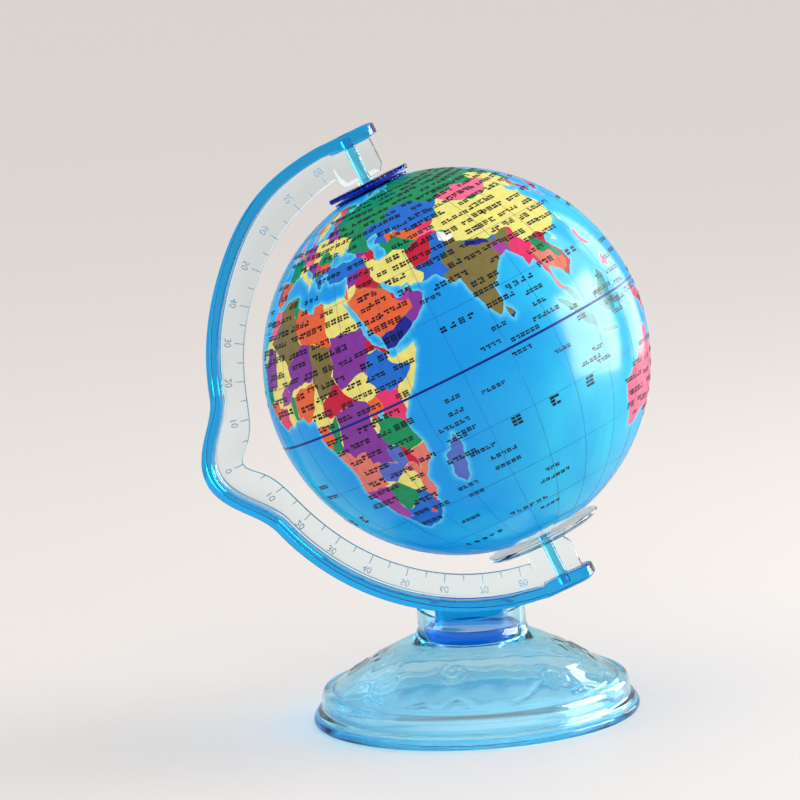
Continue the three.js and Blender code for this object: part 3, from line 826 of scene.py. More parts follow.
COUNTRIES = lands(False, """
ORANGE: -125 49,-95 49.2,-83 46,-75 45,-67 47.3,-66 44,-80 24,-97 26,-106.5 31.8,-117 32.5,-126 40;
ORANGE: -169 72,-141 72,-141 60,-130 55,-170 52;
GREEN: -117 32.5,-106.5 31.8,-97 26,-86 22,-88 16,-92 14.5,-110 18,-118 28;
GREEN: -51 5,-60 5,-64 4,-66 1,-70 1.5,-70 -4.5,-73.5 -7.5,-70 -11,-65 -11,-60 -16,-58 -20,
  -54.5 -25.5,-57.5 -30,-53 -34,-34 -20,-34 -5;
SAND: -68 -22,-62.5 -22.2,-54.5 -25.5,-58 -32,-56 -38,-62 -56,-69 -52,-71.5 -45,-70 -33;
ORANGE: -81.5 -4,-76 0,-70 -4.5,-73.5 -7.5,-70 -11,-69.5 -17.5,-71.5 -18.5,-80 -12;
PURPLE: -69.5 -11,-65 -11,-60 -16,-58 -20,-62.5 -22.2,-68 -22.5,-69.5 -17.5;
SAND: -78 9,-71 12.5,-72 7,-67.5 6,-67 1.5,-70 -4.5,-76 0,-79 1.5;
ROYAL: -72 12.5,-60 11,-60 5,-64 4,-66 1,-67 1.5,-67.5 6,-72 7.5;
OLIVE: -9 27,-1.7 35,1 38,8.6 37.5,8.3 32,9.8 30,10 26,12 23.5,4 19,-5 25;
PINK: -13 27.7,-8.7 27.7,-1.2 32.2,-2 36,-7 37,-12 30;
PURPLE: -18 21,-13 23.3,-12 26,-8.7 26,-4.8 25,-6.5 15.5,-11.5 15,-18 16.3;
GREEN: -18 16.5,-15 16.7,-11.5 15,-11.3 12.3,-18 11.5;
ORANGE: -17 11.5,-8 12.4,-8 8,-11.5 6.8,-14 8;
ROSE: -12.5 6.2,-8 8,-8 10.2,-3 9.9,-3 4,-8 3.5;
MAGENTA: -5.5 10.3,-4 13.5,0 15,2.2 12,0.5 11;
GREEN: 0.5 11,2.2 12.2,3.7 11.5,2.7 5,1.2 5;
ORANGE: 2.7 5,3.7 11.7,7 13,13.5 13.5,14.6 12,11.5 7,8.6 4,5 3.5;
PURPLE: 3 19.5,4.2 16,0.2 14.9,2.3 12.2,4 13.5,13.5 13.6,15.5 17,15.8 23,12 23.6,5 20;
GREEN: 7.5 33.5,8.6 38,12 38,11.5 33,9.5 30.2;
ORANGE: 10 26,9.5 30.3,11.5 34,25 34,25 20,24 19.5,15 23,12 23.6;
OLIVE: 15.8 23,24 19.5,24 15.7,22 13,22.8 11,19 9,15.4 7.5,14 13,15.5 17;
SAND: 25 33,34.9 33,34.3 30,38 24,38 22,25 22;
PURPLE: 25 22,39 22,39.5 18,37 17,36.5 14.3,34 9.5,24 8.7,22.5 12.6,24 15.7,24 20,25 20;
CRIMSON: 36.5 14.3,37 17,39 18.2,44 12.6,42.3 12.4,40 14.5;
ROYAL: 34 9,36.5 14.3,40 14.5,42.3 12.4,42 11,43 9.5,48 8,45 5,42 4.2,39.5 3.5,36 4.5,33 8;
SAND: 43.2 11.5,52 13,53 9,41.5 -3,41 -1.7,41 3,42 4.2,45 5,48 8,43 9.5;
ROSE: 34 4.2,36 4.5,39.5 3.5,42 4.2,41 3,41 -1.7,40 -5.5,39 -4.8,34 -1;
SAND: 24 8.7,33.5 10.5,34 9,33 8,36 4.5,34 4.2,31 3.6,27.5 5;
ORANGE: 31 3.6,34 4.2,35 1.5,34 -1,30 -1.2,29.6 0.5;
CRIMSON: 14.5 4.5,15.4 7.6,19 9,22.8 11,24 8.7,27.5 5,22 4.2,18.6 3.5,16 3.3;
SAND: 8 4.5,11.5 7,14.6 13,15.4 7.6,14.5 4.5,16 2,8.5 2;
ORANGE: 8 2.2,13.3 2.2,14.3 -1.5,11 -4,7 -1;
GREEN: 10.5 -4.5,14.3 -1.5,13.3 2.2,16 2,18.6 3.6,17.5 -0.5,15.5 -4.4,12 -5.3;
PURPLE: 11 -6,15.5 -4.4,17.6 -0.5,18.6 3.5,22 4.2,27.5 5,30.5 3.6,31.2 2,29.5 0.5,29 -4.5,
  30.8 -8.3,28.5 -9,28.6 -12.3,29.8 -13.4,25 -11.5,22 -11,21.8 -7.3,17 -8;
SAND: 29 -1.2,30.8 -1.2,30.8 -4.4,29 -4.4;
GREEN: 30.5 -1,34 -1,39 -4.7,41.5 -5,41 -10.4,35 -11.5,30.8 -8.3,29.4 -5,30.8 -3.5;
SALMON: 11 -5.8,16.5 -6,17.5 -8,21.8 -7.3,22 -11,24 -11,24 -13,22 -13,22 -17.5,10 -17.3,10 -10;
VIOLET: 22 -13,24 -13,24 -11,25 -11.5,29.8 -13.4,28.6 -12.3,28.5 -9,30.8 -8.3,33 -9.5,33 -14,
  30 -15.5,27 -18,25 -17.6,22 -16.5;
SALMON: 35 -11.5,42 -10.2,42 -17,37 -24,34 -27.5,32 -26.8,31.3 -22.4,33 -17,30.3 -16,30.3 -14.8,
  33 -14,34.4 -14.5,35.3 -17,35.8 -15;
CRIMSON: 33 -9.5,34.5 -10,35.8 -15,35 -17,34.4 -14.5,33 -14;
SAND: 25.2 -17.8,30.3 -15.6,33 -17,32.5 -20,31.3 -22.4,29 -22;
GREEN: 20 -22,21 -18.3,25.2 -17.8,29 -22,25.5 -25.6,20.8 -26.8,20 -25;
MAGENTA: 10 -17.3,18 -17.3,25 -17.6,21 -18.3,20 -22,20 -28.5,15 -29;
ROYAL: 15 -28.5,20 -28.5,20 -25,20.8 -26.8,25.5 -25.6,29 -22,31.3 -22.4,32 -26.8,34 -28.5,28 -36,
  17 -36.5;
ORANGE: 26.6 -29.7,29.5 -28.8,28.5 -30.9;
PURPLE: 30.8 -25.8,32.3 -26.2,31.5 -27.5;
ORANGE: 3 57.5,3 63,12 69,20 72,31 72,28 69,20 69,14 64.5,12 61,11.5 59;
SAND: 11.5 59,12 61,14 64.5,20 69,24 65.8,17.5 61,19 59.5,17 55,12 55;
ROSE: 20.5 69,28 70,30 67,29.5 62,27.7 60.4,21 59.7,20.5 63,24 66;
PINK: 7 54.9,13 54.9,12.5 56,10.6 58,7 57.5;
PURPLE: 20 55.3,20 58,23.5 60,28 59.4,28 56,24 54.2;
SAND: 14.3 55,19 55,23.5 54.2,24 50.5,19 49.4,15 51;
MAGENTA: 6 51.5,6 55,8.5 55,14.3 55,15 51,12.2 50.3,13.8 48.7,12.8 47.6,7.6 47.6,8 49;
MAGENTA: 23.5 54,28 56,32 54,31.5 52.2,24 51.7;
GREEN: -2 43.3,-6 48.7,2 51.2,8 49,7.5 47.5,6 46,7.6 43,3.2 42.4;
ORANGE: -9.5 44.5,-1.8 43.4,3.3 42.4,1 38,-2 36,-5.6 35.5,-7.4 37.1,-6.2 41.6,-9.8 41.9;
PURPLE: -10 36.5,-7.4 37.1,-6.2 41.6,-9.5 41.9;
SAND: 6.7 43.5,7 46,12 47,13.8 46.5,12.8 44.5,19.5 40,16 37.2,12 37,12 41.5,10 42.5;
PINK: 6 46.3,9.5 47.6,12.2 50.5,15 51,18.8 49.5,17 48,16 46.8,10.5 46.7;
PURPLE: 13.5 45.7,16 46.8,19 44.8,19.5 42.2,18.5 42,13 44.5;
ROSE: 19 44.8,20 46.2,22.6 44.3,22.4 42.2,20 42;
SAND: 16 46.8,17 48,22.2 48.3,20.5 46.2,18 45.8;
GREEN: 20.2 46.3,23 48,26.5 48.3,28.2 45.5,30 45.2,29 43.7,22.7 44;
ORANGE: 22.4 42.3,22.7 44.2,29 43.8,28.5 42,23 41.3;
ROYAL: 19.8 40,20 38,22 35.8,25 37.8,23.5 40,26.5 41.7,23 41.3,20.9 41;
OLIVE: 18.8 42.5,20.8 42,21 40.5,19 40;
ORANGE: 2.5 51.1,5 54,7 53.3,6 50,5 49.5;
SAND: 22.2 48.2,24 51.7,31.5 52.2,40 49.5,38 47,36 44.5,33 44,30 45.3,28.2 45.5,26.5 48.2;
ROYAL: 25.5 35.5,25.5 42.5,42 41.5,44.5 40,44.5 37.2,42 37.2,36.5 36.5,36 35.9,30 35;
PURPLE: 35.2 35.5,36.6 36.7,42.3 37.2,41 34.4,38.8 33.3,35.8 32.6;
SAND: 34 29.4,34.8 35,36 34,35.8 32.6,38.8 33.3,39 32,37 30,35 29.3;
ORANGE: 33.5 31.3,35.5 33.3,35.3 31,34.9 29.5;
CRIMSON: 38.8 33.3,41 34.4,42.3 37.2,44.8 37.2,46 35,45.5 33.5,48 30.5,48.5 29.8,46.5 29,42 31.2,
  39.2 32.2;
ORANGE: 34.5 29.4,37 30,39.2 32,42 31.2,46.5 29.1,49 28.4,51 24.5,52.5 23,55.2 22.7,55.1 20,52 19,
  47 17,42 16.7,38 20,34 28;
NAVY: 42 16.5,47 17,52 19,53.3 16.5,52 13,44 12,42 14;
PURPLE: 52 19,55.1 20,55.2 22.7,56 24.2,57 25,61 22.5,57 16,53.2 16.5;
MAGENTA: 51 24.3,52.5 23,55.2 22.7,56 24.2,56.5 26.8,53 25.5;
CRIMSON: 50.4 24.6,51.9 24.6,51.7 26.5,50.4 26.5;
SAND: 44.5 39.5,48 39,49 37.5,54 37.3,57 38.2,61 36.5,60.7 33.5,61 31,61.6 29,63.2 27.2,61.5 25,
  57 25,50 29,48 30.2,45.5 33.5,46 35,44.8 37.2;
PURPLE: 40 43.5,46.5 41.8,44 41,41.2 41.3;
CRIMSON: 45 41.3,48.5 42,50.8 40.3,49 38.2,46 39;
PINK: 43.6 41,45.2 41.2,46.4 39,44.5 39.8;
SAND: 73.6 39.5,80 42.2,82 45.5,87.3 49.1,91 45.2,96.5 42.7,105 41.6,111.5 43.5,119.8 46.7,
  116 49.8,120 53.3,126 52.8,131 47.7,135 48.4,131 44.9,130.7 42.3,126 41.5,124.5 40,123 38,
  124 30,119 22.5,110 18,108 21.5,105.5 23,102.2 22.4,99 22,97.5 24.5,98.5 27.7,97.3 28.2,92 27.7,
  88 27.8,81.5 30.3,78.7 31.3,79 35.5,75 37.2;
ROYAL: 46.5 48.5,50 51.5,55 50.7,61 50.8,61 54,69 55.3,77 53.5,80 51,87.3 49.1,82 45.5,80 42.2,
  71 42.5,68 41.2,66 42.5,61 44.3,56 45,56 41.3,52.5 42.8,48 45;
ORANGE: 56 41.3,56 45,61 44.3,66 42.5,68 41.2,71 42.2,73 40.6,68.5 40,68 37.3,62 40.5,60 42.2,
  57 42;
GREEN: 52.5 42.8,56 41.3,57 42,60 42.2,62 40.5,66.5 37.4,62 35.3,61 36.6,57 38.2,53 37.3;
ROSE: 69.5 40,71 42.5,80.2 42.2,76 40.4,73.6 39.5,69.5 39.5;
PINK: 67.8 38,68.5 40,73.6 39.5,75 37.4,71.5 36.8,68 37.1;
CRIMSON: 61 35.5,64.8 37.2,71.5 38,75 37.3,71 35.5,69.3 32,66.5 29.8,61 29.6,60.7 34;
ROYAL: 61.6 24.5,63.3 27.2,61 29.6,66.5 29.8,69.3 32,71 36.8,75 36.8,77.5 35.5,74.5 33,74.5 31,
  70 27.8,71 24.4,68 23,66.5 24;
OLIVE: 67 23.6,71 24.4,70 27.8,74.5 31,74.5 33,73.8 36,79 35.5,78.7 31.3,81 30,88 27.8,89 26.5,
  92 27.5,97.3 28.2,94.5 24.5,92.5 21.5,89 21,81 7,77 7,71 18,68 20;
PAPER: 73.8 34,75 37,79 35.5,79 33,76 32.5;
NAVY: 80.2 29,81.5 30.3,88 27.8,88 26.4;
VIOLET: 88.8 27,91 28.2,92 27,89 26.7;
MAGENTA: 88 24,88.5 26.3,92.5 25,92.5 20.5,89 20.5;
PINK: 87.3 49.1,91 45.2,96.5 42.7,105 41.6,111.5 43.5,119.8 46.7,116 49.8,107 49.8,102 51.4,98 50,
  92 50.7;
ROSE: 92 21,94.5 24.5,97.3 28.3,98.5 27.7,97.5 24.5,99 22,101 21.3,98 19,98.7 15.5,99.3 12,
  98.5 9.8,97 10,93 16;
SALMON: 98 19,100.3 20.3,101 17.6,104.8 17,105.5 14.4,102.5 13.5,103 11.2,99.8 9,102 6,100 6.3,
  98 8,99.3 12,98.7 15.5;
GREEN: 100.3 20.3,102 22.4,104.5 20,107.6 15.5,107.3 14.2,105.5 14.4,104.8 17,101 17.6;
CRIMSON: 102.2 22.4,105.5 23,108.5 21.5,107.5 18,110 12,105 8,104.5 10.5,106.5 11.5,107.5 12.5,
  107.6 15.5,104.5 20;
ORANGE: 102.5 13.5,105.5 14.4,107.4 14,107.5 12.5,106 11,103.5 10;
TEAL: 100 6.4,102.5 6.5,105 1.5,103 1,100 4;
ORANGE: 124 40,130.8 42.5,129 40,127.5 38.3,125 37.8;
MAGENTA: 126 34,126 38,128.5 38.6,130 36,129 34.8
""")
LAKES = lands(True, """
black sea SEA: 28 41.9,31.3 41.2,35 42,38.5 41,41.5 41.5,41.2 42.8,39 44,37 44.8,38.8 46.8,35 46.2,
  36.3 45.2,33.6 44.5,32.6 45.6,33.6 46.1,31.5 46.6,30 45.9,28.7 44.2,27.6 42.8;
caspian SEA: 47.3 45.5,49.5 46.5,52.9 46.8,53 45.3,51.3 44.4,50.5 43,52.6 42.5,52.8 41,54 40,
  53.7 37.2,50.5 36.8,48.9 38.4,49.4 40.4,48 42.2;
aral sea SEA: 58.5 45,60 46.5,61.3 44.5,59 43.8;
lake victoria SEA: 31.8 -0.8,33 0.3,34.1 -0.5,33 -2.3;
baikal SEA: 104 51.5,108 53,109.8 55.6,107 53
""")


@dataclass
class WorldMap:
    """The printed map, and where each of its points lies on the ball."""

    turn: float = -137.8
    north_stretch: float = 0.16
    south_stretch: float = 0.20
    step: float = 1.3
    roughness: float = 0.10
    seed: int = 7
    lands: list[tuple[Land, np.ndarray]] = field(default_factory=list)

    def prepare(self) -> None:
        """Works out every outline with its fine, uneven course."""
        chance = random.Random(self.seed)
        for land in [*COASTS, *COUNTRIES, *LAKES]:
            self.lands.append((land, self.roughened(land.shape, chance)))

    def roughened(self, shape: np.ndarray, chance: random.Random) -> np.ndarray:
        """Splits an outline's long sides and pushes each new corner a little aside.

        Args:
            shape: the outline's corners.
            chance: the source of chance.

        Returns:
            The finer outline.
        """
        points = [tuple(corner) for corner in shape]
        while True:
            finer = []
            for here, after in zip(points, points[1:] + points[:1]):
                finer.append(here)
                along = np.array(after) - np.array(here)
                middle_height = math.radians((here[1] + after[1]) / 2)
                length = math.hypot(along[0] * math.cos(middle_height), along[1])
                edge_of_map = abs(here[0]) > 179.5 and abs(after[0]) > 179.5
                if length > self.step and not edge_of_map:
                    shift = self.roughness * (2 * chance.random() - 1)
                    middle = (np.array(here) + np.array(after)) / 2 + shift * np.array([-along[1], along[0]])
                    finer.append(tuple(middle))
            if len(finer) == len(points):
                return np.array(points)
            points = finer

    def stretch(self, latitude: np.ndarray) -> np.ndarray:
        """Returns the latitudes on the ball at which the map's latitudes are printed."""
        much = np.where(np.asarray(latitude, float) > 0, self.north_stretch, self.south_stretch)
        return latitude * (1 + much * (1 - (latitude / 90) ** 2))

    def printed(self, shape: np.ndarray) -> np.ndarray:
        """Returns an outline's corners as they lie on the ball, in degrees."""
        return np.column_stack([shape[:, 0], self.stretch(shape[:, 1])])

    def on_ball(self, longitude: float, latitude: float) -> Vector:
        """Finds a place on the map.

        Args:
            longitude: the map's longitude, in degrees.
            latitude: the map's latitude, in degrees.

        Returns:
            Its direction from the ball's centre, in the ball's upright frame.
        """
        turn = math.radians(longitude + self.turn)
        height = math.radians(float(self.stretch(latitude)))
        ring = math.cos(height)
        return Vector((ring * math.cos(turn), ring * math.sin(turn), math.sin(height)))

    def inks(self, places: np.ndarray) -> tuple[np.ndarray, np.ndarray]:
        """Finds the ink at each place, given as longitude and latitude on the ball.

        Args:
            places: the places, with latitudes as they lie on the ball.

        Returns:
            The ink's colour at each place, and whether it is land.
        """
        colours = np.tile(np.array(Ink.SEA.value), (len(places), 1))
        dry = np.zeros(len(places), bool)
        for land, shape in self.lands:
            within = inside(places, self.printed(shape))
            lake = land.ink is Ink.SEA
            if land.coast:
                dry[within] = not lake
            else:
                within &= dry
            colours[within] = land.ink.value
        return colours, dry


def inside(places: np.ndarray, shape: np.ndarray) -> np.ndarray:
    """Tells which places lie inside a closed outline.

    Args:
        places: the places, as rows of two numbers.
        shape: the outline's corners.

    Returns:
        True for each place inside.
    """
    low, high = shape.min(0), shape.max(0)
    near = np.all((places >= low) & (places <= high), axis=1)
    x, y = places[near, 0], places[near, 1]
    odd = np.zeros(len(x), bool)
    for (x0, y0), (x1, y1) in zip(shape, np.roll(shape, -1, axis=0)):
        if y0 == y1:
            continue
        crosses = (y0 > y) != (y1 > y)
        odd ^= crosses & (x < (x1 - x0) * (y - y0) / (y1 - y0) + x0)
    result = np.zeros(len(places), bool)
    result[near] = odd
    return result


# --- The frame's driving dimensions, in millimetres ---


@dataclass
class Axis:
    """The tilted axis that the ball turns about, read from the frame."""

    centre: Vector = field(default_factory=lambda: Vector(frame["joints"][0]["pos_m"]) / MM)
    along: Vector = field(default_factory=lambda: Vector(frame["joints"][0]["axis"]))

    def place(self) -> Matrix:
        """Returns the matrix from the tilted frame, with Z along the axis, to the row frame, in metres."""
        up = self.along.normalized()
        side = Vector((0, 1, 0))
        return facing(side.cross(up).normalized(), side, up, self.centre)

    def span(self, node: str) -> tuple[float, float]:
        """Returns how far a node's lowest and highest points lie along the axis, in millimetres."""
        up = self.along.normalized()
        reach = [(vertex.co / MM - self.centre).dot(up) for vertex in frame["nodes"][node].data.vertices]
        return min(reach), max(reach)

    def radius(self, node: str) -> float:
        """Returns how far a node reaches from the axis, in millimetres."""
        up = self.along.normalized()
        arms = [vertex.co / MM - self.centre for vertex in frame["nodes"][node].data.vertices]
        return max((arm - up * arm.dot(up)).length for arm in arms)


AXIS = Axis()


def tilt(item: bpy.types.Object) -> bpy.types.Object:
    """Puts a piece made in the axis's upright frame into its tilted place."""
    item.data.transform(AXIS.place())
    item.data.update()
    return item


# --- The ball ---


@dataclass
class Ball:
    """The hollow printed ball: two halves, the seam bead, the graticule and the place marks."""

    world: WorldMap
    radius: float = field(default_factory=lambda: AXIS.radius("globe_north_shell"))
    wall: float = 1.4
    seam: float = 0.08
    hole: float = 3.9
    grid: float = 1.5
    shore_width: float = 0.85
    inner_grid: float = 7.0
    bead: float = 0.55
    line: float = 0.075
    line_step: float = 15.0
    mark_rise: float = 0.03
    seed: int = 21

    @property
    def seam_turn(self) -> float:
        """Returns how far the seam lies from the pole, in degrees."""
        return 90 - math.degrees(self.seam / self.radius)

    @property
    def hole_turn(self) -> float:
        """Returns how far the hole's edge lies from the pole, in degrees."""
        return math.degrees(self.hole / self.radius)

    def flat_ring(self, radius: float, turns: np.ndarray) -> np.ndarray:
        """Returns points on a flat ring round the pole."""
        return np.column_stack([radius * np.cos(turns), radius * np.sin(turns)])

    def flat_places(self, side: int) -> tuple[list[np.ndarray], list[np.ndarray]]:
        """Lays the outlines and a grid of points flat round one pole.

        Args:
            side: 1 for the north half and -1 for the south.

        Returns:
            The loose grid points, and the closed outlines.
        """
        lines = [self.flatten(self.world.printed(shape), side) for _, shape in self.world.lands]
        for radius, count in ((self.seam_turn, 240), (self.hole_turn, 36)):
            lines.append(self.flat_ring(radius, np.arange(count) * 2 * math.pi / count))
        loose = []
        for ring in range(1, int(self.seam_turn // self.grid)):
            radius = self.hole_turn + ring * self.grid
            if radius > self.seam_turn - 0.5 * self.grid:
                break
            count = int(2 * math.pi * radius / self.grid * 0.9)
            turns = (np.arange(count) + 0.5 * (ring % 2)) * 2 * math.pi / count
            loose.append(self.flat_ring(radius, turns))
        return loose, lines

    def flatten(self, places: np.ndarray, side: int) -> np.ndarray:
        """Lays places, as longitude and latitude on the ball, flat round a pole."""
        radius = 90 - side * places[:, 1]
        turn = np.radians(places[:, 0])
        return np.column_stack([radius * np.cos(turn), side * radius * np.sin(turn)])

    def unflatten(self, flat: np.ndarray, side: int) -> np.ndarray:
        """Turns flat places back into longitude and latitude on the ball."""
        radius = np.hypot(flat[:, 0], flat[:, 1])
        turn = np.degrees(np.arctan2(side * flat[:, 1], flat[:, 0]))
        return np.column_stack([turn, side * (90 - radius)])

    def directions(self, flat: np.ndarray, side: int) -> np.ndarray:
        """Returns the directions from the ball's centre of flat places, in the upright frame."""
        places = self.unflatten(flat, side)
        turn = np.radians(places[:, 0] + self.world.turn)
        height = np.radians(places[:, 1])
        ring = np.cos(height)
        return np.column_stack([ring * np.cos(turn), ring * np.sin(turn), np.sin(height)])

    def triangulate(self, side: int) -> tuple[np.ndarray, np.ndarray]:
        """Cuts one half of the ball's skin into triangles along every coast and border.

        Args:
            side: 1 for the north half and -1 for the south.

        Returns:
            The flat places of the corners, and the triangles.
        """
        loose, lines = self.flat_places(side)
        margin = 90 + 2 * self.grid
        points, edges = [], []
        for flat in lines:
            keep = np.hypot(flat[:, 0], flat[:, 1]) < margin
            index = {}
            for number in np.flatnonzero(keep):
                index[int(number)] = len(points)
                points.append(flat[number])
            for number in index:
                after = (number + 1) % len(flat)
                if after in index:
                    edges.append((index[number], index[after]))
        tree = kdtree.KDTree(len(points))
        for number, point in enumerate(points):
            tree.insert((point[0], point[1], 0), number)
        tree.balance()
        for point in np.vstack(loose):
            if tree.find((point[0], point[1], 0))[2] > 0.45 * self.grid:
                points.append(point)
        corners = [Vector((float(x), float(y))) for x, y in points]
        found = geometry.delaunay_2d_cdt(corners, edges, [], 0, 1e-4, False)
        flat = np.array([tuple(corner) for corner in found[0]])
        triangles = np.array([face for face in found[2] if len(face) == 3])
        middle = flat[triangles].mean(axis=1)
        distance = np.hypot(middle[:, 0], middle[:, 1])
        kept = (distance < self.seam_turn - 0.003) & (distance > self.hole_turn)
        return flat, triangles[kept]

    def half(self, side: int) -> bpy.types.Object:
        """Builds one printed half, hollow, with its inks on its faces."""
        flat, triangles = self.triangulate(side)
        used = np.unique(triangles)
        renumber = np.full(len(flat), -1)
        renumber[used] = np.arange(len(used))
        flat, triangles = flat[used], renumber[triangles]
        colours, dry = self.world.inks(self.unflatten(flat[triangles].mean(axis=1), side))
        outer = self.directions(flat, side)
        first, second, third = (outer[triangles[:, corner]] for corner in range(3))
        turned_in = np.einsum("ij,ij->i", np.cross(second - first, third - first), first) < 0
        triangles[turned_in] = triangles[turned_in][:, ::-1]
        shore = self.shore(outer, triangles, dry)
        inner, inner_faces = self.inner_skin(flat, triangles, side)
        points = np.vstack([outer * self.radius, inner]) * MM
        faces = [tuple(int(v) for v in face) for face in triangles] + inner_faces
        item = add_mesh("globe_north_half" if side > 0 else "globe_south_half", points, faces)
        self.paint(item, outer, colours, dry, shore)
        normals = [tuple(direction) for direction in outer]
        normals += [tuple(-point / np.linalg.norm(point)) for point in inner]
        item.data.normals_split_custom_set_from_vertices(normals)
        return tilt(item)

    def shore(self, outer: np.ndarray, triangles: np.ndarray, dry: np.ndarray) -> np.ndarray:
        """Returns how near each corner is to a coast, from 1 on the coast to 0 out at sea."""
        wet_corner = np.zeros(len(outer), bool)
        dry_corner = np.zeros(len(outer), bool)
        wet_corner[np.unique(triangles[~dry])] = True
        dry_corner[np.unique(triangles[dry])] = True
        coast = np.flatnonzero(wet_corner & dry_corner)
        tree = kdtree.KDTree(len(coast))
        for number in coast:
            tree.insert(Vector(outer[number]), int(number))
        tree.balance()
        width = math.radians(2 * self.shore_width)
        return np.array([max(0.0, 1 - tree.find(Vector(point))[2] / width) for point in outer])

    def inner_skin(self, flat: np.ndarray, triangles: np.ndarray, side: int) -> tuple[np.ndarray, list]:
        """Lines the half with a coarser inner skin and closes it at the seam and at the pole's hole.

        Args:
            flat: the outer skin's flat places.
            triangles: the outer skin's triangles, facing outwards.
            side: 1 for the north half and -1 for the south.

        Returns:
            The new corners, which come after the outer skin's, and the new faces.
        """
        start = len(flat)
        sides = dict.fromkeys((int(here), int(after)) for face in triangles
                              for here, after in zip(face, np.roll(face, -1)))
        border = [edge for edge in sides if (edge[1], edge[0]) not in sides]
        rim = sorted({number for edge in border for number in edge})
        place = {number: position for position, number in enumerate(rim)}
        rim_flat = flat[rim]
        reach = np.hypot(rim_flat[:, 0], rim_flat[:, 1]).max()
        corners = [Vector((float(x), float(y))) for x, y in rim_flat]
        for ring in range(1, int(reach // self.inner_grid)):
            radius = self.hole_turn + ring * self.inner_grid
            if radius < reach - 0.6 * self.inner_grid:
                steps = max(12, int(2 * math.pi * radius / self.inner_grid))
                for step in range(steps):
                    turn = 2 * math.pi * step / steps
                    corners.append(Vector((radius * math.cos(turn), radius * math.sin(turn))))
        edges = [(place[here], place[after]) for here, after in border]
        found = geometry.delaunay_2d_cdt(corners, edges, [], 0, 1e-5, True)
        where = {old: new for new, olds in enumerate(found[3]) for old in olds}
        inner_flat = np.array([tuple(corner) for corner in found[0]])
        inner = self.directions(inner_flat, side) * (self.radius - self.wall)
        faces = []
        for face in found[2]:
            middle = inner_flat[list(face)].mean(axis=0)
            if self.hole_turn * 0.999 < math.hypot(*middle) < reach:
                a, b, c = (inner[number] for number in face)
                inwards = np.dot(np.cross(b - a, c - a), a) < 0
                ordered = face if inwards else list(face)[::-1]
                faces.append(tuple(start + int(number) for number in ordered))
        for here, after in border:
            low, high = start + where[place[here]], start + where[place[after]]
            faces.append((after, here, low, high))
        return inner, faces

    def shoals(self, outer: np.ndarray) -> np.ndarray:
        """Returns how pale the open water is painted at each corner, from 0 to 1; the pale water is partly
        printed shallows and partly painted reflection of the window light.
        """
        total = np.zeros(len(outer))
        for longitude, latitude, reach, much in SHOALS_AND_SHEEN:
            middle = np.array(self.world.on_ball(longitude, latitude))
            angle = np.degrees(np.arccos(np.clip(outer @ middle, -1, 1)))
            total = np.maximum(total, much * np.exp(-((angle / reach) ** 2)))
        return total

    def paint(self, item: bpy.types.Object, outer: np.ndarray, colours: np.ndarray, dry: np.ndarray,
              shore: np.ndarray) -> None:
        """Writes each face's ink, and each corner's shore tones and pale-water tones, the latter partly
        painted reflection, into the mesh.

        Args:
            item: the half.
            outer: the directions of the outer skin's corners.
            colours: the ink of each triangle of the outer skin.
            dry: whether each of those triangles is land.
            shore: how near each corner is to a coast.
        """
        mesh = item.data
        paint = mesh.color_attributes.new("ink", "FLOAT_COLOR", "CORNER")
        values = np.ones((len(mesh.loops), 4), np.float32)
        values[:, :3] = Ink.PAPER.value
        start = np.zeros(len(mesh.polygons), np.int32)
        mesh.polygons.foreach_get("loop_start", start)
        for corner in range(3):
            loops = start[: len(colours)] + corner
            values[loops, :3] = colours
            values[loops, 3] = dry
        paint.data.foreach_set("color", values.ravel())
        for name, tones in (("shore", shore), ("shoal_and_sheen", self.shoals(outer))):
            level = np.zeros(len(mesh.vertices), np.float32)
            level[: len(outer)] = tones
            mesh.attributes.new(name, "FLOAT", "POINT").data.foreach_set("value", level)

    def circle(self, radius: float, height: float, steps: int = 120) -> list[Vector]:
        """Returns the corners of a level ring about Z, in metres."""
        turns = [2 * math.pi * step / steps for step in range(steps)]
        return [Vector((radius * math.cos(turn), radius * math.sin(turn), height)) * MM for turn in turns]

    def graticule(self) -> bpy.types.Object:
        """Draws the fine lines of longitude and latitude."""
        points, edges = [], []
        count = int(90 // self.line_step)
        for number in range(-count + 1, count):
            if number:
                level = math.radians(float(self.world.stretch(number * self.line_step)))
                ring = self.circle(self.radius * math.cos(level), self.radius * math.sin(level))
                edges += [(len(points) + i, len(points) + (i + 1) % len(ring)) for i in range(len(ring))]
                points += ring
        top = math.radians(float(self.world.stretch(75)))
        steps = 50
        for number in range(int(360 // self.line_step)):
            turn = math.radians(number * self.line_step + self.world.turn)
            start = len(points)
            for step in range(steps + 1):
                level = -top + 2 * top * step / steps
                out = self.radius * math.cos(level)
                corner = Vector((out * math.cos(turn), out * math.sin(turn), self.radius * math.sin(level)))
                points.append(corner * MM)
            edges += [(start + step, start + step + 1) for step in range(steps)]
        seed = link_in("graticule_seed", bpy.data.meshes.new("graticule_seed"))
        seed.data.from_pydata(points, edges, [])
        return tilt(line_tree().grow("graticule", seed, MAP_LINE, Radius=self.line * MM, Sides=5))

    def equator(self) -> bpy.types.Object:
        """Turns the raised bead that closes the seam."""
        inner = self.radius - 0.9
        proud = self.radius + 0.12
        profile = [(inner, -self.seam), (self.radius - 0.1, -self.bead), (proud - 0.03, -0.6 * self.bead),
                   (proud, -0.25 * self.bead), (proud, 0.25 * self.bead), (proud - 0.03, 0.6 * self.bead),
                   (self.radius - 0.1, self.bead), (inner, self.seam)]
        return tilt(turned("equator_bead", profile, 240))

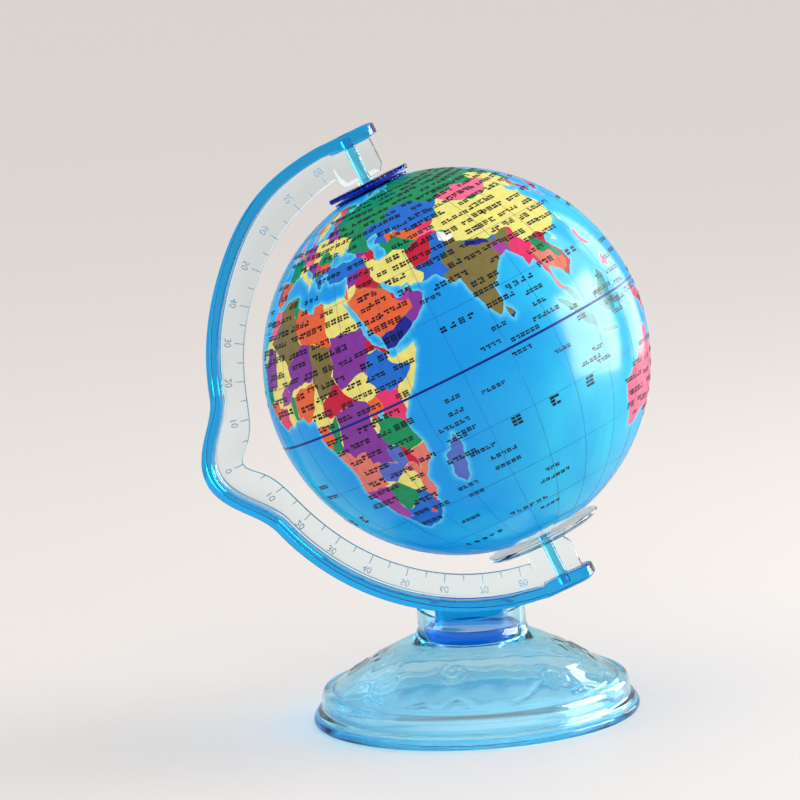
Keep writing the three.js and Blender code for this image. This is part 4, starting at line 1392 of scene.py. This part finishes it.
    def word(self, longitude: float, latitude: float, glyphs: int, size: float, gap: float,
             chance: random.Random) -> list[tuple[Matrix, float, float]]:
        """Makes one row of marks along a parallel, each a cluster of small blocks.

        Args:
            longitude: where the row's middle lies.
            latitude: where the row lies.
            glyphs: how many marks the row has.
            size: a mark's height, in millimetres.
            gap: how far apart the marks' middles are, in marks' heights.
            chance: the source of chance.

        Returns:
            The strokes' places, widths and heights, in metres.
        """
        up = self.world.on_ball(longitude, latitude)
        east = Vector((-up.y, up.x, 0)).normalized()
        north = up.cross(east)
        strokes = []
        for number in range(glyphs):
            along = (number - (glyphs - 1) / 2) * size * gap
            rows = 2 if size < 2.2 else chance.choice((2, 3))
            skip = chance.randrange(4 * rows)
            for index in range(2 * rows):
                if index == skip:
                    continue
                right = (index % 2 - 0.5) * chance.uniform(0.44, 0.50)
                rise = (index // 2 - (rows - 1) / 2) * 0.94 / rows
                width = chance.uniform(0.34, 0.44)
                height = chance.uniform(0.52, 0.74) / rows
                flat = east * (along + right * size) + north * (rise * size)
                out = (up * self.radius + flat).normalized()
                side = (east - out * east.dot(out)).normalized()
                place = facing(side, out.cross(side), out, out * (self.radius + self.mark_rise / 2))
                strokes.append((place, width * size * MM, height * size * MM))
        return strokes

    def marks(self) -> bpy.types.Object:
        """Scatters rows of generic block marks over the lands, with a few larger ones at sea."""
        chance = random.Random(self.seed)
        strokes = []
        for longitude, latitude, glyphs, size, gap in SEA_MARKS:
            strokes += self.word(longitude, latitude, glyphs, size, gap, chance)
        spots = []
        for row in range(34):
            latitude = -46 + 3.4 * row
            step = 1.0 / max(math.cos(math.radians(latitude)), 0.3)
            longitude = -180 + 8 * step * chance.random()
            while longitude < 180:
                glyphs, size = chance.randint(2, 5), chance.choice((1.9, 2.1, 2.5))
                spots.append((longitude, latitude + chance.uniform(-0.5, 0.5), glyphs, size, 1.12))
                longitude += step * (0.95 * glyphs * size + chance.uniform(0.4, 3.0))
        places = np.array([(spot[0], float(self.world.stretch(spot[1]))) for spot in spots])
        for spot, dry in zip(spots, self.world.inks(places)[1]):
            if dry:
                strokes += self.word(*spot, chance)
        for longitude, latitude, count in ISLAND_MARKS:
            for row in range(count):
                middle = longitude + chance.uniform(-3, 3)
                strokes += self.word(middle, latitude - 3.3 * row, chance.randint(3, 6), 1.8, 1.14, chance)
        seeds = stamp_points("mark_seeds", strokes)
        depth = (self.mark_rise + 0.1) * MM
        return tilt(stamp_tree().grow("place_marks", seeds, MAP_BLACK, Depth=depth))

    def build(self) -> None:
        """Builds and dresses every piece of the ball."""
        for side, node in ((1, "globe_north_shell"), (-1, "globe_south_shell")):
            finish_piece(self.half(side), PRINT, Body.BALL, "printed_ball", node)
        finish_piece(self.equator(), EQUATOR_NAVY, Body.BALL, "printed_ball")
        finish_piece(self.graticule(), None, Body.BALL, "printed_ball")
        finish_piece(self.marks(), None, Body.BALL, "printed_ball")
        ring = frame["nodes"]["equator_joint_ring"]
        ring.data.materials.clear()
        ring.data.materials.append(INNER_WHITE.material())


# Longitude, latitude, reach in degrees and strength of each stretch of pale water, which is partly printed
# shallows and partly painted reflection of the window, the reflection in the strong patches of the eastern
# Indian Ocean on the ball's right side.
SHOALS_AND_SHEEN = [
    (102, -26, 36, 1.0), (110, 6, 26, 1.0), (78, -38, 20, 0.7), (88, -48, 22, 0.7), (130, 25, 26, 0.8),
    (88, 10, 12, 0.5), (-35, 30, 25, 0.7), (-20, -20, 24, 0.7), (-140, 20, 34, 0.8), (-120, -30, 34, 0.8),
    (170, -10, 26, 0.7), (35, -50, 16, 0.5), (0, 72, 14, 0.6),
]
# Longitude, latitude, how many marks, their height in millimetres and how far apart they are.
SEA_MARKS = [
    (65, 11.4, 4, 2.5, 1.45), (68.2, -16.5, 1, 4.2, 1.0), (81.8, -16.5, 1, 4.2, 1.0),
    (95.6, -16.5, 1, 4.2, 1.0), (88, 13.5, 4, 2.3, 1.4), (60, -44, 6, 2.0, 1.3), (70, -48, 4, 1.6, 1.3),
    (-30, 25, 3, 4.0, 3.2), (-15, -25, 3, 4.0, 3.2), (-150, 15, 3, 4.4, 4.0),
    (-130, -25, 3, 4.4, 4.0), (160, 25, 3, 4.2, 3.2),
    (112, 14, 2, 2.6, 1.5), (160, -38, 4, 2.4, 1.4), (-170, 45, 3, 2.4, 1.5), (30, -50, 5, 2.2, 1.6),
    (18, 34.6, 3, 1.8, 1.5), (66, -6.5, 5, 1.6, 1.2), (90, -6, 4, 1.6, 1.2),
]
# Longitude, latitude and how many rows of marks.
ISLAND_MARKS = [
    (55, -4.5, 2), (48, -10.5, 2), (57.5, -19.5, 3), (73, 6, 2), (80, 1.5, 2), (92, 10, 3), (52, -13, 1),
    (118, 2, 3), (128, 8, 3), (136, 12, 2), (146, 2, 3), (104, -10, 2), (62, 20, 1), (47, -27, 2),
    (98, -12, 1), (-60, 17, 3), (-70, 25, 2), (-25, 15, 2), (-15, 36, 2), (168, -14, 3), (178, -20, 2),
    (-172, -14, 3), (-150, -18, 3), (142, 28, 2), (-5, -12, 2), (74, -34, 2), (38, -38, 1),
]


# --- The arm ---


# A cross-section: its middle, its outward direction, its width, its thickness and its edges' radius.
Station = tuple[Vector, Vector, float, float, float]


@dataclass
class Arm:
    """The meridian arm: a wide flange outside a flat web, a boss at each end, a degree scale on the web."""

    radius: float = 92.4
    width: float = 13.4
    thickness: float = 4.2
    web: float = 2.0
    web_radius: float = 79.2
    bump: float = 11.6
    bump_half_width: float = 17.6
    web_bump: float = 10.6
    web_bump_half_width: float = 4.6
    bulge: float = 2.2
    bulge_centre: float = 66.0
    bulge_spread: float = 16.0
    end: float = 88.0
    boss_back: float = -8.0
    boss_front: float = 11.0
    boss_thickness: float = 5.2
    plate_back: float = -9.2
    plate_front: float = 8.0
    plate_inner: float = 74.5
    edge: float = 0.55

    def flange_radius(self, angle: float) -> float:
        """Returns how far the flange's outer face is from the ball's centre, at an angle from the equator."""
        in_bump = min(abs(angle) / self.bump_half_width, 1)
        step = self.bump * (1 + math.cos(math.pi * in_bump)) / 2
        along = (angle - self.bulge_centre) / self.bulge_spread
        return self.radius + step + self.bulge * math.exp(-along * along)

    def edge_radius(self, angle: float) -> float:
        """Returns how far the web's inner edge is from the ball's centre."""
        across = angle / self.web_bump_half_width
        return self.web_radius + self.web_bump / (1 + across * across)

    def point(self, radius: float, angle: float) -> Vector:
        """Returns a point in the arm's plane, as x and z, in millimetres."""
        turn = math.radians(angle)
        return Vector((-radius * math.cos(turn), radius * math.sin(turn)))

    def angles(self) -> list[float]:
        """Returns the angles of the arm's cross-sections, about one degree apart."""
        count = round(2 * self.end)
        return [-self.end + 2 * self.end * number / count for number in range(count + 1)]

    def ring_section(self, width: float, thick: float, edge: float) -> list[tuple[float, float]]:
        """Draws a rounded rectangle.

        Args:
            width: its width.
            thick: its thickness.
            edge: the radius of its corners.

        Returns:
            Its corners, as [across, outwards] pairs about its middle.
        """
        result = []
        half_width, half_thick = width / 2 - edge, thick / 2 - edge
        for quarter, (right, rise) in enumerate(((1, 1), (-1, 1), (-1, -1), (1, -1))):
            for step in range(5):
                turn = math.radians(90 * quarter + 90 * step / 4)
                across = right * half_width + edge * math.cos(turn)
                result.append((across, rise * half_thick + edge * math.sin(turn)))
        return result

    def sweep(self, name: str, stations: list[Station]) -> bpy.types.Object:
        """Runs a rounded bar through stations in the arm's plane.

        Args:
            name: the piece's name.
            stations: the bar's cross-sections, in order.

        Returns:
            The bar, closed at both ends, in the tilted place.
        """
        points = []
        for middle, outwards, width, thick, edge in stations:
            for across, out in self.ring_section(width, thick, edge):
                spot = middle + outwards * out
                points.append(Vector((spot.x, across, spot.y)) * MM)
        ring = len(points) // len(stations)
        faces = wrap(len(stations), ring)
        faces.append(tuple(range(ring))[::-1])
        faces.append(tuple(range(len(points) - ring, len(points))))
        item = tidy_mesh(add_mesh(name, points, faces))
        return tilt(sharp_by_angle(item, 40))

    def nose(self, side: int) -> list[Station]:
        """Returns the stations of a boss, from where it joins the flange out to its rounded nose."""
        result = []
        out = Vector((0, side))
        for x, thick in ((-7.2, 4.3), (-6.4, 4.7), (-5.4, 5.1), (-4.0, self.boss_thickness)):
            result.append((Vector((x, side * (self.radius - thick / 2))), out, self.width, thick, self.edge))
        length = 4.6
        flat = self.boss_front - length
        for step in range(9):
            turn = math.radians(90 * step / 8)
            x = flat + length * math.sin(turn)
            width = self.width * (0.48 + 0.52 * math.cos(turn))
            thick = self.boss_thickness * (0.62 + 0.38 * math.cos(turn))
            middle = Vector((x, side * (self.radius - self.boss_thickness / 2)))
            result.append((middle, out, width, thick, min(self.edge * 1.6, 0.45 * thick)))
        return result

    def flange(self) -> bpy.types.Object:
        """Sweeps the flange with a boss at each end."""
        stations = []
        for angle in self.angles():
            here = self.point(self.flange_radius(angle), angle)
            after = self.point(self.flange_radius(angle + 0.5), angle + 0.5)
            before = self.point(self.flange_radius(angle - 0.5), angle - 0.5)
            along = (after - before).normalized()
            out = Vector((-along.y, along.x))
            if abs(angle) < 84.5:
                stations.append((here - out * self.thickness / 2, out, self.width, self.thickness, self.edge))
        stations = list(reversed(self.nose(-1))) + stations + self.nose(1)
        return self.sweep("arm_flange", stations)

    def web_outline(self) -> tuple[list[Vector], list[Vector]]:
        """Returns the web's inner and outer edges, from the south end round to the north."""
        inner, outer = [], []
        gap = 0.12
        for angle in self.angles():
            if abs(angle) < 83.5:
                inner.append(self.point(self.edge_radius(angle), angle))
                outer.append(self.point(self.flange_radius(angle) - self.thickness - gap, angle))
        for side in (-1, 1):
            low, high = [], []
            top = self.radius - self.boss_thickness - gap
            for step in range(7):
                turn = math.radians(90 * step / 6)
                x = self.plate_back + 2.4 * math.sin(turn) ** 2
                reach = self.plate_inner + (self.web_radius - self.plate_inner) * (1 - math.sin(turn)) ** 2
                low.append(Vector((x, side * reach)))
                rise = self.radius - self.thickness - gap if x < self.boss_back + 0.4 else top
                high.append(Vector((x, side * rise)))
            corner = 2.6
            for step in range(9):
                x = self.plate_back + 2.4 + (self.plate_front - self.plate_back - 2.4) * (step + 1) / 9
                nearness = max(0.0, (x - (self.plate_front - corner)) / corner)
                reach = self.plate_inner + corner * (1 - math.sqrt(max(0.0, 1 - nearness**2)))
                low.append(Vector((x, side * reach)))
                high.append(Vector((x, side * top)))
            if side < 0:
                inner, outer = low[::-1] + inner, high[::-1] + outer
            else:
                inner, outer = inner + low, outer + high
        return inner, outer

    def web_plate(self) -> bpy.types.Object:
        """Builds the flat web with an end plate beside each pin."""
        stations = []
        inner, outer = self.web_outline()
        for low, high in zip(inner, outer):
            out = high - low
            stations.append(((low + high) / 2, out.normalized(), self.web, out.length, 0.4))
        return self.sweep("arm_web", stations)

    def saddle(self) -> bpy.types.Object:
        """Builds the block between the flange and the plug, hollowed to the flange."""
        length, width, steps = 25.0, 11.6, 24
        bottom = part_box("neck_plug")[1].z / MM + 0.3
        points = []
        for step in range(steps + 1):
            x = length * (step / steps - 0.5)
            top = AXIS.centre.z - math.sqrt((self.radius + 0.05) ** 2 - x * x)
            soft = 0.7 if 0 < step < steps else 1.4
            for across, rise in ((-1, soft), (-1, top - bottom), (1, top - bottom), (1, soft)):
                points.append(Vector((x, across * width / 2, bottom + rise)) * MM)
            for across in (0.93, -0.93):
                points.append(Vector((x, across * width / 2, bottom + (0 if soft < 1 else 0.5))) * MM)
        faces = [*wrap(steps + 1, 6), tuple(range(6)), tuple(range(6 * steps, 6 * steps + 6))]
        return sharp_by_angle(tidy_mesh(add_mesh("arm_saddle", points, faces)))

    def on_web(self, radius: float, angle: float, rise: float) -> Matrix:
        """Finds a place on the web's face.

        Args:
            radius: how far it is from the ball's centre.
            angle: its angle from the equator.
            rise: how far it stands out of the face.

        Returns:
            The place, with Y away from the ball's centre and Z out of the face.
        """
        spot, away = self.point(radius, angle), self.point(1.0, angle)
        up, out = Vector((away.x, 0, away.y)), Vector((0, 1, 0))
        return facing(up.cross(out), up, out, Vector((spot.x, self.web / 2 + rise, spot.y)))

    def scale_marks(self) -> bpy.types.Object:
        """Stamps a tick on the web every five degrees, longer every ten."""
        places = []
        for angle in range(-80, 81, 5):
            length = 3.0 if angle % 10 == 0 else 1.9
            place = self.on_web(self.edge_radius(angle) + 0.7 + length / 2, angle, 0.02)
            places.append((place, 0.32 * MM, length * MM))
        seeds = stamp_points("tick_seeds", places)
        return tilt(stamp_tree().grow("scale_ticks", seeds, SCALE_GREY, Depth=0.24 * MM))

    def numerals(self) -> bpy.types.Object:
        """Sets the degree numbers on the web, read from the far side."""
        items = []
        for angle in range(-80, 81, 10):
            text = bpy.data.curves.new("degrees", "FONT")
            text.body = str(abs(angle))
            text.size = 3.6 * MM
            text.extrude = 0.1 * MM
            text.resolution_u = 3
            text.align_x = "CENTER"
            text.align_y = "CENTER"
            item = plain_object("numeral", link_in("degrees", text))
            radius = min(self.edge_radius(angle) + 6.1, self.flange_radius(angle) - 6.0)
            item.data.transform(self.on_web(radius, angle, 0.03))
            items.append(item)
        return tilt(tidy_mesh(join_pieces("scale_numerals", items)))

    def build(self) -> None:
        """Builds and dresses every piece of the arm."""
        finish_piece(self.flange(), ARM_BLUE, Body.STAND, "arm_plastic", "meridian_arm")
        finish_piece(self.web_plate(), WEB_CLEAR, Body.STAND, "arm_plastic")
        finish_piece(self.saddle(), SADDLE_BLUE, Body.STAND, "arm_plastic")
        finish_piece(self.scale_marks(), None, Body.STAND, "arm_plastic")
        finish_piece(self.numerals(), SCALE_GREY, Body.STAND, "arm_plastic")


# --- The poles ---


@dataclass
class Poles:
    """What turns at the two poles: pins, collars, the hub, the toothed dial and the dish."""

    pin: float = 2.1
    bore: float = 2.4
    teeth: int = 48
    tooth_depth: float = 0.7
    cap_radius: float = 14.4
    hub: float = 3.9
    dish_thickness: float = 1.2

    def pin_piece(self, node: str) -> bpy.types.Object:
        """Turns a pin with a small rounded tip."""
        low, high = AXIS.span(node)
        profile = [(0.0, low), (self.pin, low), (self.pin, high), (0.0, high)]
        return tilt(turned(f"{node}_rod", rounded(profile, 0.5), 40))

    def collar(self, node: str) -> bpy.types.Object:
        """Turns the collar that stops the ball sliding along its pin."""
        low, high = AXIS.span(node)
        inner, outer = self.pin + 0.05, AXIS.radius(node)
        profile = [(inner, low), (outer, low), (outer, high), (inner, high)]
        return tilt(turned(f"{node}_ring", rounded(profile, 0.22, 3), 48))

    def dial(self) -> bpy.types.Object:
        """Cuts the toothed dial, with a stepped top and a raised inner ring."""
        low, high = AXIS.span("north_dial")
        outer = AXIS.radius("north_dial")
        skirt = low - 0.8
        rings = [(self.bore, low), (outer - 1.3, low), (outer - 1.15, low - 0.15), (outer - 1.1, skirt),
                 (outer - 0.35, skirt), (outer, skirt + 0.3), (outer, high - 0.35), (outer - 0.3, high - 0.1),
                 (outer - 1.2, high), (12.2, high), (11.8, high - 0.25), (7.0, high - 0.25), (6.6, high),
                 (self.bore, high)]
        steps = self.teeth * 8
        points = []
        for step in range(steps):
            turn = 2 * math.pi * step / steps
            wave = 0.5 + 0.5 * math.cos(self.teeth * turn)
            dip = self.tooth_depth * (1 - wave**0.7)
            for radius, height in rings:
                reach = radius - (dip if radius > outer - 0.5 else 0.0)
                points.append(Vector((reach * math.cos(turn), reach * math.sin(turn), height)) * MM)
        item = tidy_mesh(add_mesh("dial_disc", points, wrap(steps, len(rings), True)))
        return tilt(sharp_by_angle(item, 30))

    def dial_scale(self) -> bpy.types.Object:
        """Stamps the dial's fine divisions, a longer one every sixth."""
        high = AXIS.span("north_dial")[1]
        up = Vector((0, 0, 1))
        places = []
        for number in range(self.teeth):
            turn = 2 * math.pi * number / self.teeth
            length = 1.7 if number % 6 == 0 else 1.0
            out = Vector((math.cos(turn), math.sin(turn), 0))
            spot = out * (13.9 - length / 2) + Vector((0, 0, high))
            places.append((facing(out.cross(up), out, up, spot), 0.22 * MM, length * MM))
        seeds = stamp_points("division_seeds", places)
        return tilt(stamp_tree().grow("dial_divisions", seeds, DIAL_WHITE, Depth=0.08 * MM))

    def north_hub(self, ball: Ball) -> bpy.types.Object:
        """Turns the hub's stub and the thin cap that follows the ball."""
        clear = ball.radius + 0.3
        low = AXIS.span("north_hub")[0]
        top, under = [], []
        for step in range(9):
            turn = (self.hub + (self.cap_radius - self.hub) * step / 8) / clear
            under.append((clear * math.sin(turn), clear * math.cos(turn)))
            top.append(((clear + 0.8) * math.sin(turn), (clear + 0.8) * math.cos(turn)))
        profile = [(self.bore, low), (self.hub, low), *under, *top[::-1], (self.bore, clear + 0.75)]
        return tilt(turned("hub_cap", rounded(profile, 0.25, 3), 120))

    def south_hub(self) -> bpy.types.Object:
        """Turns the stub in the ball's south hole."""
        low, high = AXIS.span("south_hub")
        profile = [(self.bore, low), (self.hub, low), (self.hub, high), (self.bore, high)]
        return tilt(turned("hub_stub", rounded(profile, 0.2, 3), 48))

    def dish(self) -> bpy.types.Object:
        """Turns the dish, whose rolled rim curls up towards the ball."""
        low = AXIS.span("south_dish")[0]
        outer = AXIS.radius("south_dish")
        top = low + self.dish_thickness
        profile = [(self.bore, low), (8.0, low), (outer - 3.2, low + 0.2), (outer - 1.1, low + 1.0),
                   (outer - 0.1, low + 2.0), (outer - 0.25, low + 2.55), (outer - 0.8, low + 2.75),
                   (outer - 1.4, low + 2.3), (outer - 3.8, top + 0.3), (8.0, top), (self.bore, top)]
        return tilt(turned("dish_disc", rounded(profile, 0.5, 3), 160))

    def build(self, ball: Ball) -> None:
        """Builds and dresses every piece at the poles."""
        for node in ("north_pin", "south_pin"):
            finish_piece(self.pin_piece(node), PIN_TEAL, Body.STAND, "arm_plastic", node)
        for node in ("north_collar", "south_collar"):
            finish_piece(self.collar(node), DISH_CLEAR, Body.STAND, "clear_plastic", node)
        finish_piece(self.dial(), DIAL_NAVY, Body.DIAL, "dial_plastic", "north_dial")
        finish_piece(self.dial_scale(), None, Body.DIAL, "dial_plastic")
        finish_piece(self.north_hub(ball), DIAL_NAVY, Body.BALL, "dial_plastic", "north_hub")
        finish_piece(self.south_hub(), DISH_CLEAR, Body.BALL, "clear_plastic", "south_hub")
        finish_piece(self.dish(), DISH_CLEAR, Body.BALL, "clear_plastic", "south_dish")


# --- The base ---


@dataclass
class Base:
    """The clear base: a domed shell with waves in relief, on a tray, with a coloured plug in its neck."""

    relief: float = 0.34
    segments: int = 300
    dome_inner: float = 27.0
    dome_outer: float = 54.0
    outer: tuple = (
        (58.7, 3.8), (58.7, 4.9), (58.4, 5.3), (57.5, 5.6), (57.1, 6.2), (57.0, 8.0), (56.9, 10.2),
        (56.4, 11.8), (55.4, 12.75), (54.0, 12.95), (52.9, 12.9), (51.2, 14.0), (49.0, 15.5), (43.5, 19.1),
        (38.0, 22.4), (32.5, 25.4), (27.0, 28.2), (23.8, 29.7), (21.8, 30.9), (20.7, 32.2), (20.1, 33.8),
        (20.0, 36.0), (20.0, 42.0),
    )
    inner: tuple = (
        (18.0, 42.0), (18.0, 28.2), (19.5, 27.9), (26.2, 26.2), (31.6, 23.6), (37.1, 20.7), (42.5, 17.4),
        (48.0, 13.8), (52.9, 10.8), (54.3, 9.6), (54.8, 8.2), (54.9, 3.8),
    )

    def strokes(self) -> list[tuple[np.ndarray, float, float]]:
        """Lays out the waves: curling crests and long streaks, as courses over the dome.

        Returns:
            For each, its course as [turn in degrees, distance from the axis] points, its width and its
            height.
        """
        made = []
        chance = random.Random(5)
        for centre, reach, way in ((-92, 36.5, 1), (-38, 44.0, -1), (14, 38.0, 1), (66, 44.0, -1),
                                   (128, 38.0, 1), (178, 45.0, -1), (232, 43.0, 1)):
            turns = np.linspace(0.0, 2.6, 46)
            size = np.linspace(0.7, 5.2, 46)
            x = size * np.cos(2 * math.pi * turns * way * 0.62)
            y = size * np.sin(2 * math.pi * turns * way * 0.62)
            made.append((np.column_stack([centre + np.degrees(x / reach), reach + y]), 0.75, 1.0))
        for number in range(30):
            centre = chance.uniform(0, 360)
            reach = chance.uniform(29, 53)
            length = chance.uniform(14, 34)
            bend = chance.uniform(-4.5, 4.5)
            t = np.linspace(-1, 1, 28)
            across = reach + bend * t * t + 1.6 * np.sin(3 * t + number)
            course = np.column_stack([centre + length * t / 2, across])
            made.append((course, chance.uniform(0.6, 1.3), chance.uniform(0.35, 0.8)))
        return made

    def height_map(self, radius: np.ndarray, turn: np.ndarray) -> np.ndarray:
        """Works out the relief.

        Args:
            radius: each place's distance from the axis, in millimetres.
            turn: each place's angle round the axis.

        Returns:
            How far the relief stands out at each place, in millimetres.
        """
        total = np.zeros(len(radius))
        x, y = radius * np.cos(turn), radius * np.sin(turn)
        for course, width, much in self.strokes():
            way = np.radians(course[:, 0])
            cx, cy = course[:, 1] * np.cos(way), course[:, 1] * np.sin(way)
            distance = np.full(len(radius), 1e9)
            for px, py in zip(cx, cy):
                np.minimum(distance, (x - px) ** 2 + (y - py) ** 2, out=distance)
            total = np.maximum(total, much * np.exp(-distance / width**2))
        fade = np.clip((radius - 26.5) / 3, 0, 1) * np.clip((53.6 - radius) / 2, 0, 1)
        swell = 0.18 * np.sin(0.55 * x + 1.2 * np.sin(0.2 * y)) * np.sin(0.31 * y + 0.7)
        return self.relief * fade * (total + swell)

    def shell(self) -> bpy.types.Object:
        """Builds the shell, with the relief on its dome and its rim hollowed to the arm."""
        outside = smooth_line([point for point in self.outer if point[0] >= self.dome_outer], 2)
        dome = [point for point in self.outer if self.dome_inner <= point[0] <= self.dome_outer]
        neck = smooth_line([point for point in self.outer if point[0] <= self.dome_inner], 4)
        profile = outside + smooth_line(dome, 12)[1:] + neck[1:]
        outer_count = len(profile)
        profile += self.inner
        rows = np.array(profile)
        slope = np.gradient(rows[:, 0]), np.gradient(rows[:, 1])
        length = np.hypot(*slope)
        out_r, out_z = slope[1] / length, -slope[0] / length
        points = []
        turns = np.arange(self.segments) * 2 * math.pi / self.segments
        arm_radius = Arm().radius + 0.3
        for index, (radius, height) in enumerate(profile):
            lift = np.zeros(self.segments)
            if 0 < index < outer_count and self.dome_inner < radius < self.dome_outer and height > 12:
                lift = self.height_map(np.full(self.segments, radius), turns)
            for turn, rise in zip(turns, lift):
                reach = radius + out_r[index] * rise
                level = height + out_z[index] * rise
                x = reach * math.cos(turn)
                bed = AXIS.centre.z - math.sqrt(arm_radius**2 - x * x)
                points.append(Vector((x, reach * math.sin(turn), min(level, bed))) * MM)
        faces = wrap(len(profile), self.segments, True)
        return sharp_by_angle(tidy_mesh(add_mesh("base_dome", points, faces), 1e-6), 40)

    def tray(self) -> bpy.types.Object:
        """Turns the tray, with its rolled edge and the rib that stands inside the shell."""
        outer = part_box("base_tray")[1].x / MM
        profile = [(0.0, 0.9), (50.0, 0.9), (51.0, 0.0), (outer - 1.6, 0.0), (outer - 0.5, 0.3), (outer, 1.0),
                   (outer, 2.5), (outer - 0.4, 3.2), (outer - 1.3, 3.5), (54.0, 3.5), (54.0, 6.0),
                   (52.4, 6.0), (52.4, 2.6), (51.8, 2.0), (0.0, 2.0)]
        return turned("base_plate", rounded(profile, 0.5, 3), 200)

    def plug(self) -> bpy.types.Object:
        """Turns the plug, a shallow cup with a thick floor and a rolled rim."""
        low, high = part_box("neck_plug")
        bottom, top, outer = low.z / MM, high.z / MM, high.x / MM
        profile = [(0.0, bottom), (outer - 0.6, bottom), (outer, bottom + 0.7), (outer, top - 0.5),
                   (outer - 0.5, top), (outer - 2.0, top), (outer - 2.6, top - 0.5),
                   (outer - 3.0, bottom + 4.9), (0.0, bottom + 4.6)]
        return turned("plug_cup", rounded(profile, 0.5, 3), 140)

    def build(self) -> None:
        """Builds and dresses every piece of the base."""
        finish_piece(self.shell(), BASE_BLUE, Body.STAND, "base_plastic", "base_shell")
        finish_piece(self.tray(), TRAY_BLUE, Body.STAND, "base_plastic", "base_tray")
        finish_piece(self.plug(), PLUG_BLUE, Body.STAND, "plug_plastic", "neck_plug")


# --- Stage, lights and camera ---


@dataclass
class Studio:
    """The pale floor, the soft lights and the camera."""

    location: tuple[float, float, float] = (244.846, -1433.914, 336.299)
    aim: tuple[float, float, float] = (-20.866, -5.393, 118.781)
    lens: float = 180.9
    lean: float = 3.47
    floor_radius: float = 11.0
    floor_gap: float = 0.0002
    mirrored_room: float = 0.5

    def camera(self) -> None:
        """Places the camera and makes it the scene's own."""
        data = bpy.data.cameras.new("camera")
        data.lens = self.lens
        data.sensor_width = 36
        data.clip_end = 50
        item = link_in("camera", data)
        item.location = Vector(self.location) * MM
        look = (Vector(self.aim) - Vector(self.location)).to_track_quat("-Z", "Y").to_matrix()
        item.rotation_euler = (look @ Matrix.Rotation(math.radians(-self.lean), 3, "Z")).to_euler()
        bpy.context.scene.camera = item

    def lamp(self, name: str, place: tuple, aim: tuple, size: tuple, power: float, mirrored: bool,
             lighting: bool = True) -> None:
        """Adds a soft area lamp.

        Args:
            name: its name.
            place: where it is, in metres.
            aim: what it points at, in metres.
            size: its width and height, in metres.
            power: its power, in watts.
            mirrored: whether polished surfaces show it.
            lighting: whether it lights matt surfaces.
        """
        data = bpy.data.lights.new(name, "AREA")
        data.shape = "RECTANGLE"
        data.size, data.size_y = size
        data.energy = power
        data.color = (1.0, 0.985, 0.965)
        item = link_in(name, data)
        item.location = place
        item.rotation_euler = (Vector(aim) - Vector(place)).to_track_quat("-Z", "Y").to_euler()
        item.visible_glossy = mirrored
        item.visible_camera = False
        item.visible_diffuse = lighting

    def floor(self) -> None:
        """Lays the pale, slightly glossy table top."""
        finish = SolidPlastic("table_top", gloss=0.45, ripple=0.05, scratches=0.02, shine=0.12,
                              colour=(0.80, 0.765, 0.745))
        count = 96
        turns = [2 * math.pi * step / count for step in range(count)]
        reach = self.floor_radius
        points = [(reach * math.cos(turn), reach * math.sin(turn), -self.floor_gap) for turn in turns]
        item = add_mesh("table_top", points, [tuple(range(count))], False)
        item.data.materials.append(finish.material())

    def sky(self) -> None:
        """Gives the room its pale, even light, dimmer where a polished surface mirrors it."""
        made = bpy.data.worlds.new("room")
        made.use_nodes = True
        tree = Tree(made.node_tree)
        path = tree.node("ShaderNodeLightPath").outputs
        mirrored = tree.math("SUBTRACT", path["Is Glossy Ray"], path["Is Transmission Ray"], clamp=True)
        strength = tree.spread(mirrored, to_min=1.0, to_max=self.mirrored_room)
        tree.fill(made.node_tree.nodes["Background"], {"Color": (0.970, 0.955, 0.935), "Strength": strength})
        bpy.context.scene.world = made
        bpy.context.scene.view_settings.view_transform = "Standard"

    def build(self) -> None:
        """Sets the stage."""
        self.camera()
        self.floor()
        self.sky()
        middle = (0.0, 0.0, 0.12)
        self.lamp("window_right", (0.86, 0.13, 0.30), middle, (0.66, 0.62), 24.0, True, False)
        self.lamp("window_above", (0.80, 0.28, 0.68), middle, (0.62, 0.50), 4.2, True)
        self.lamp("window_behind", (0.62, 0.86, 0.36), middle, (0.42, 0.80), 7.5, True, False)
        self.lamp("window_front", (0.35, -1.3, 0.95), middle, (0.8, 0.6), 1.6, False)
        self.lamp("window_left", (-1.1, -0.5, 0.9), middle, (0.9, 0.7), 1.4, False)


def main() -> None:
    """Builds the stage and every sub-assembly in order."""
    logging.basicConfig(level=logging.INFO, format="%(name)s: %(message)s")
    Studio().build()
    world = WorldMap()
    world.prepare()
    ball = Ball(world)
    ball.build()
    Arm().build()
    Poles().build(ball)
    Base().build()


if __name__ == "__main__":
    main()
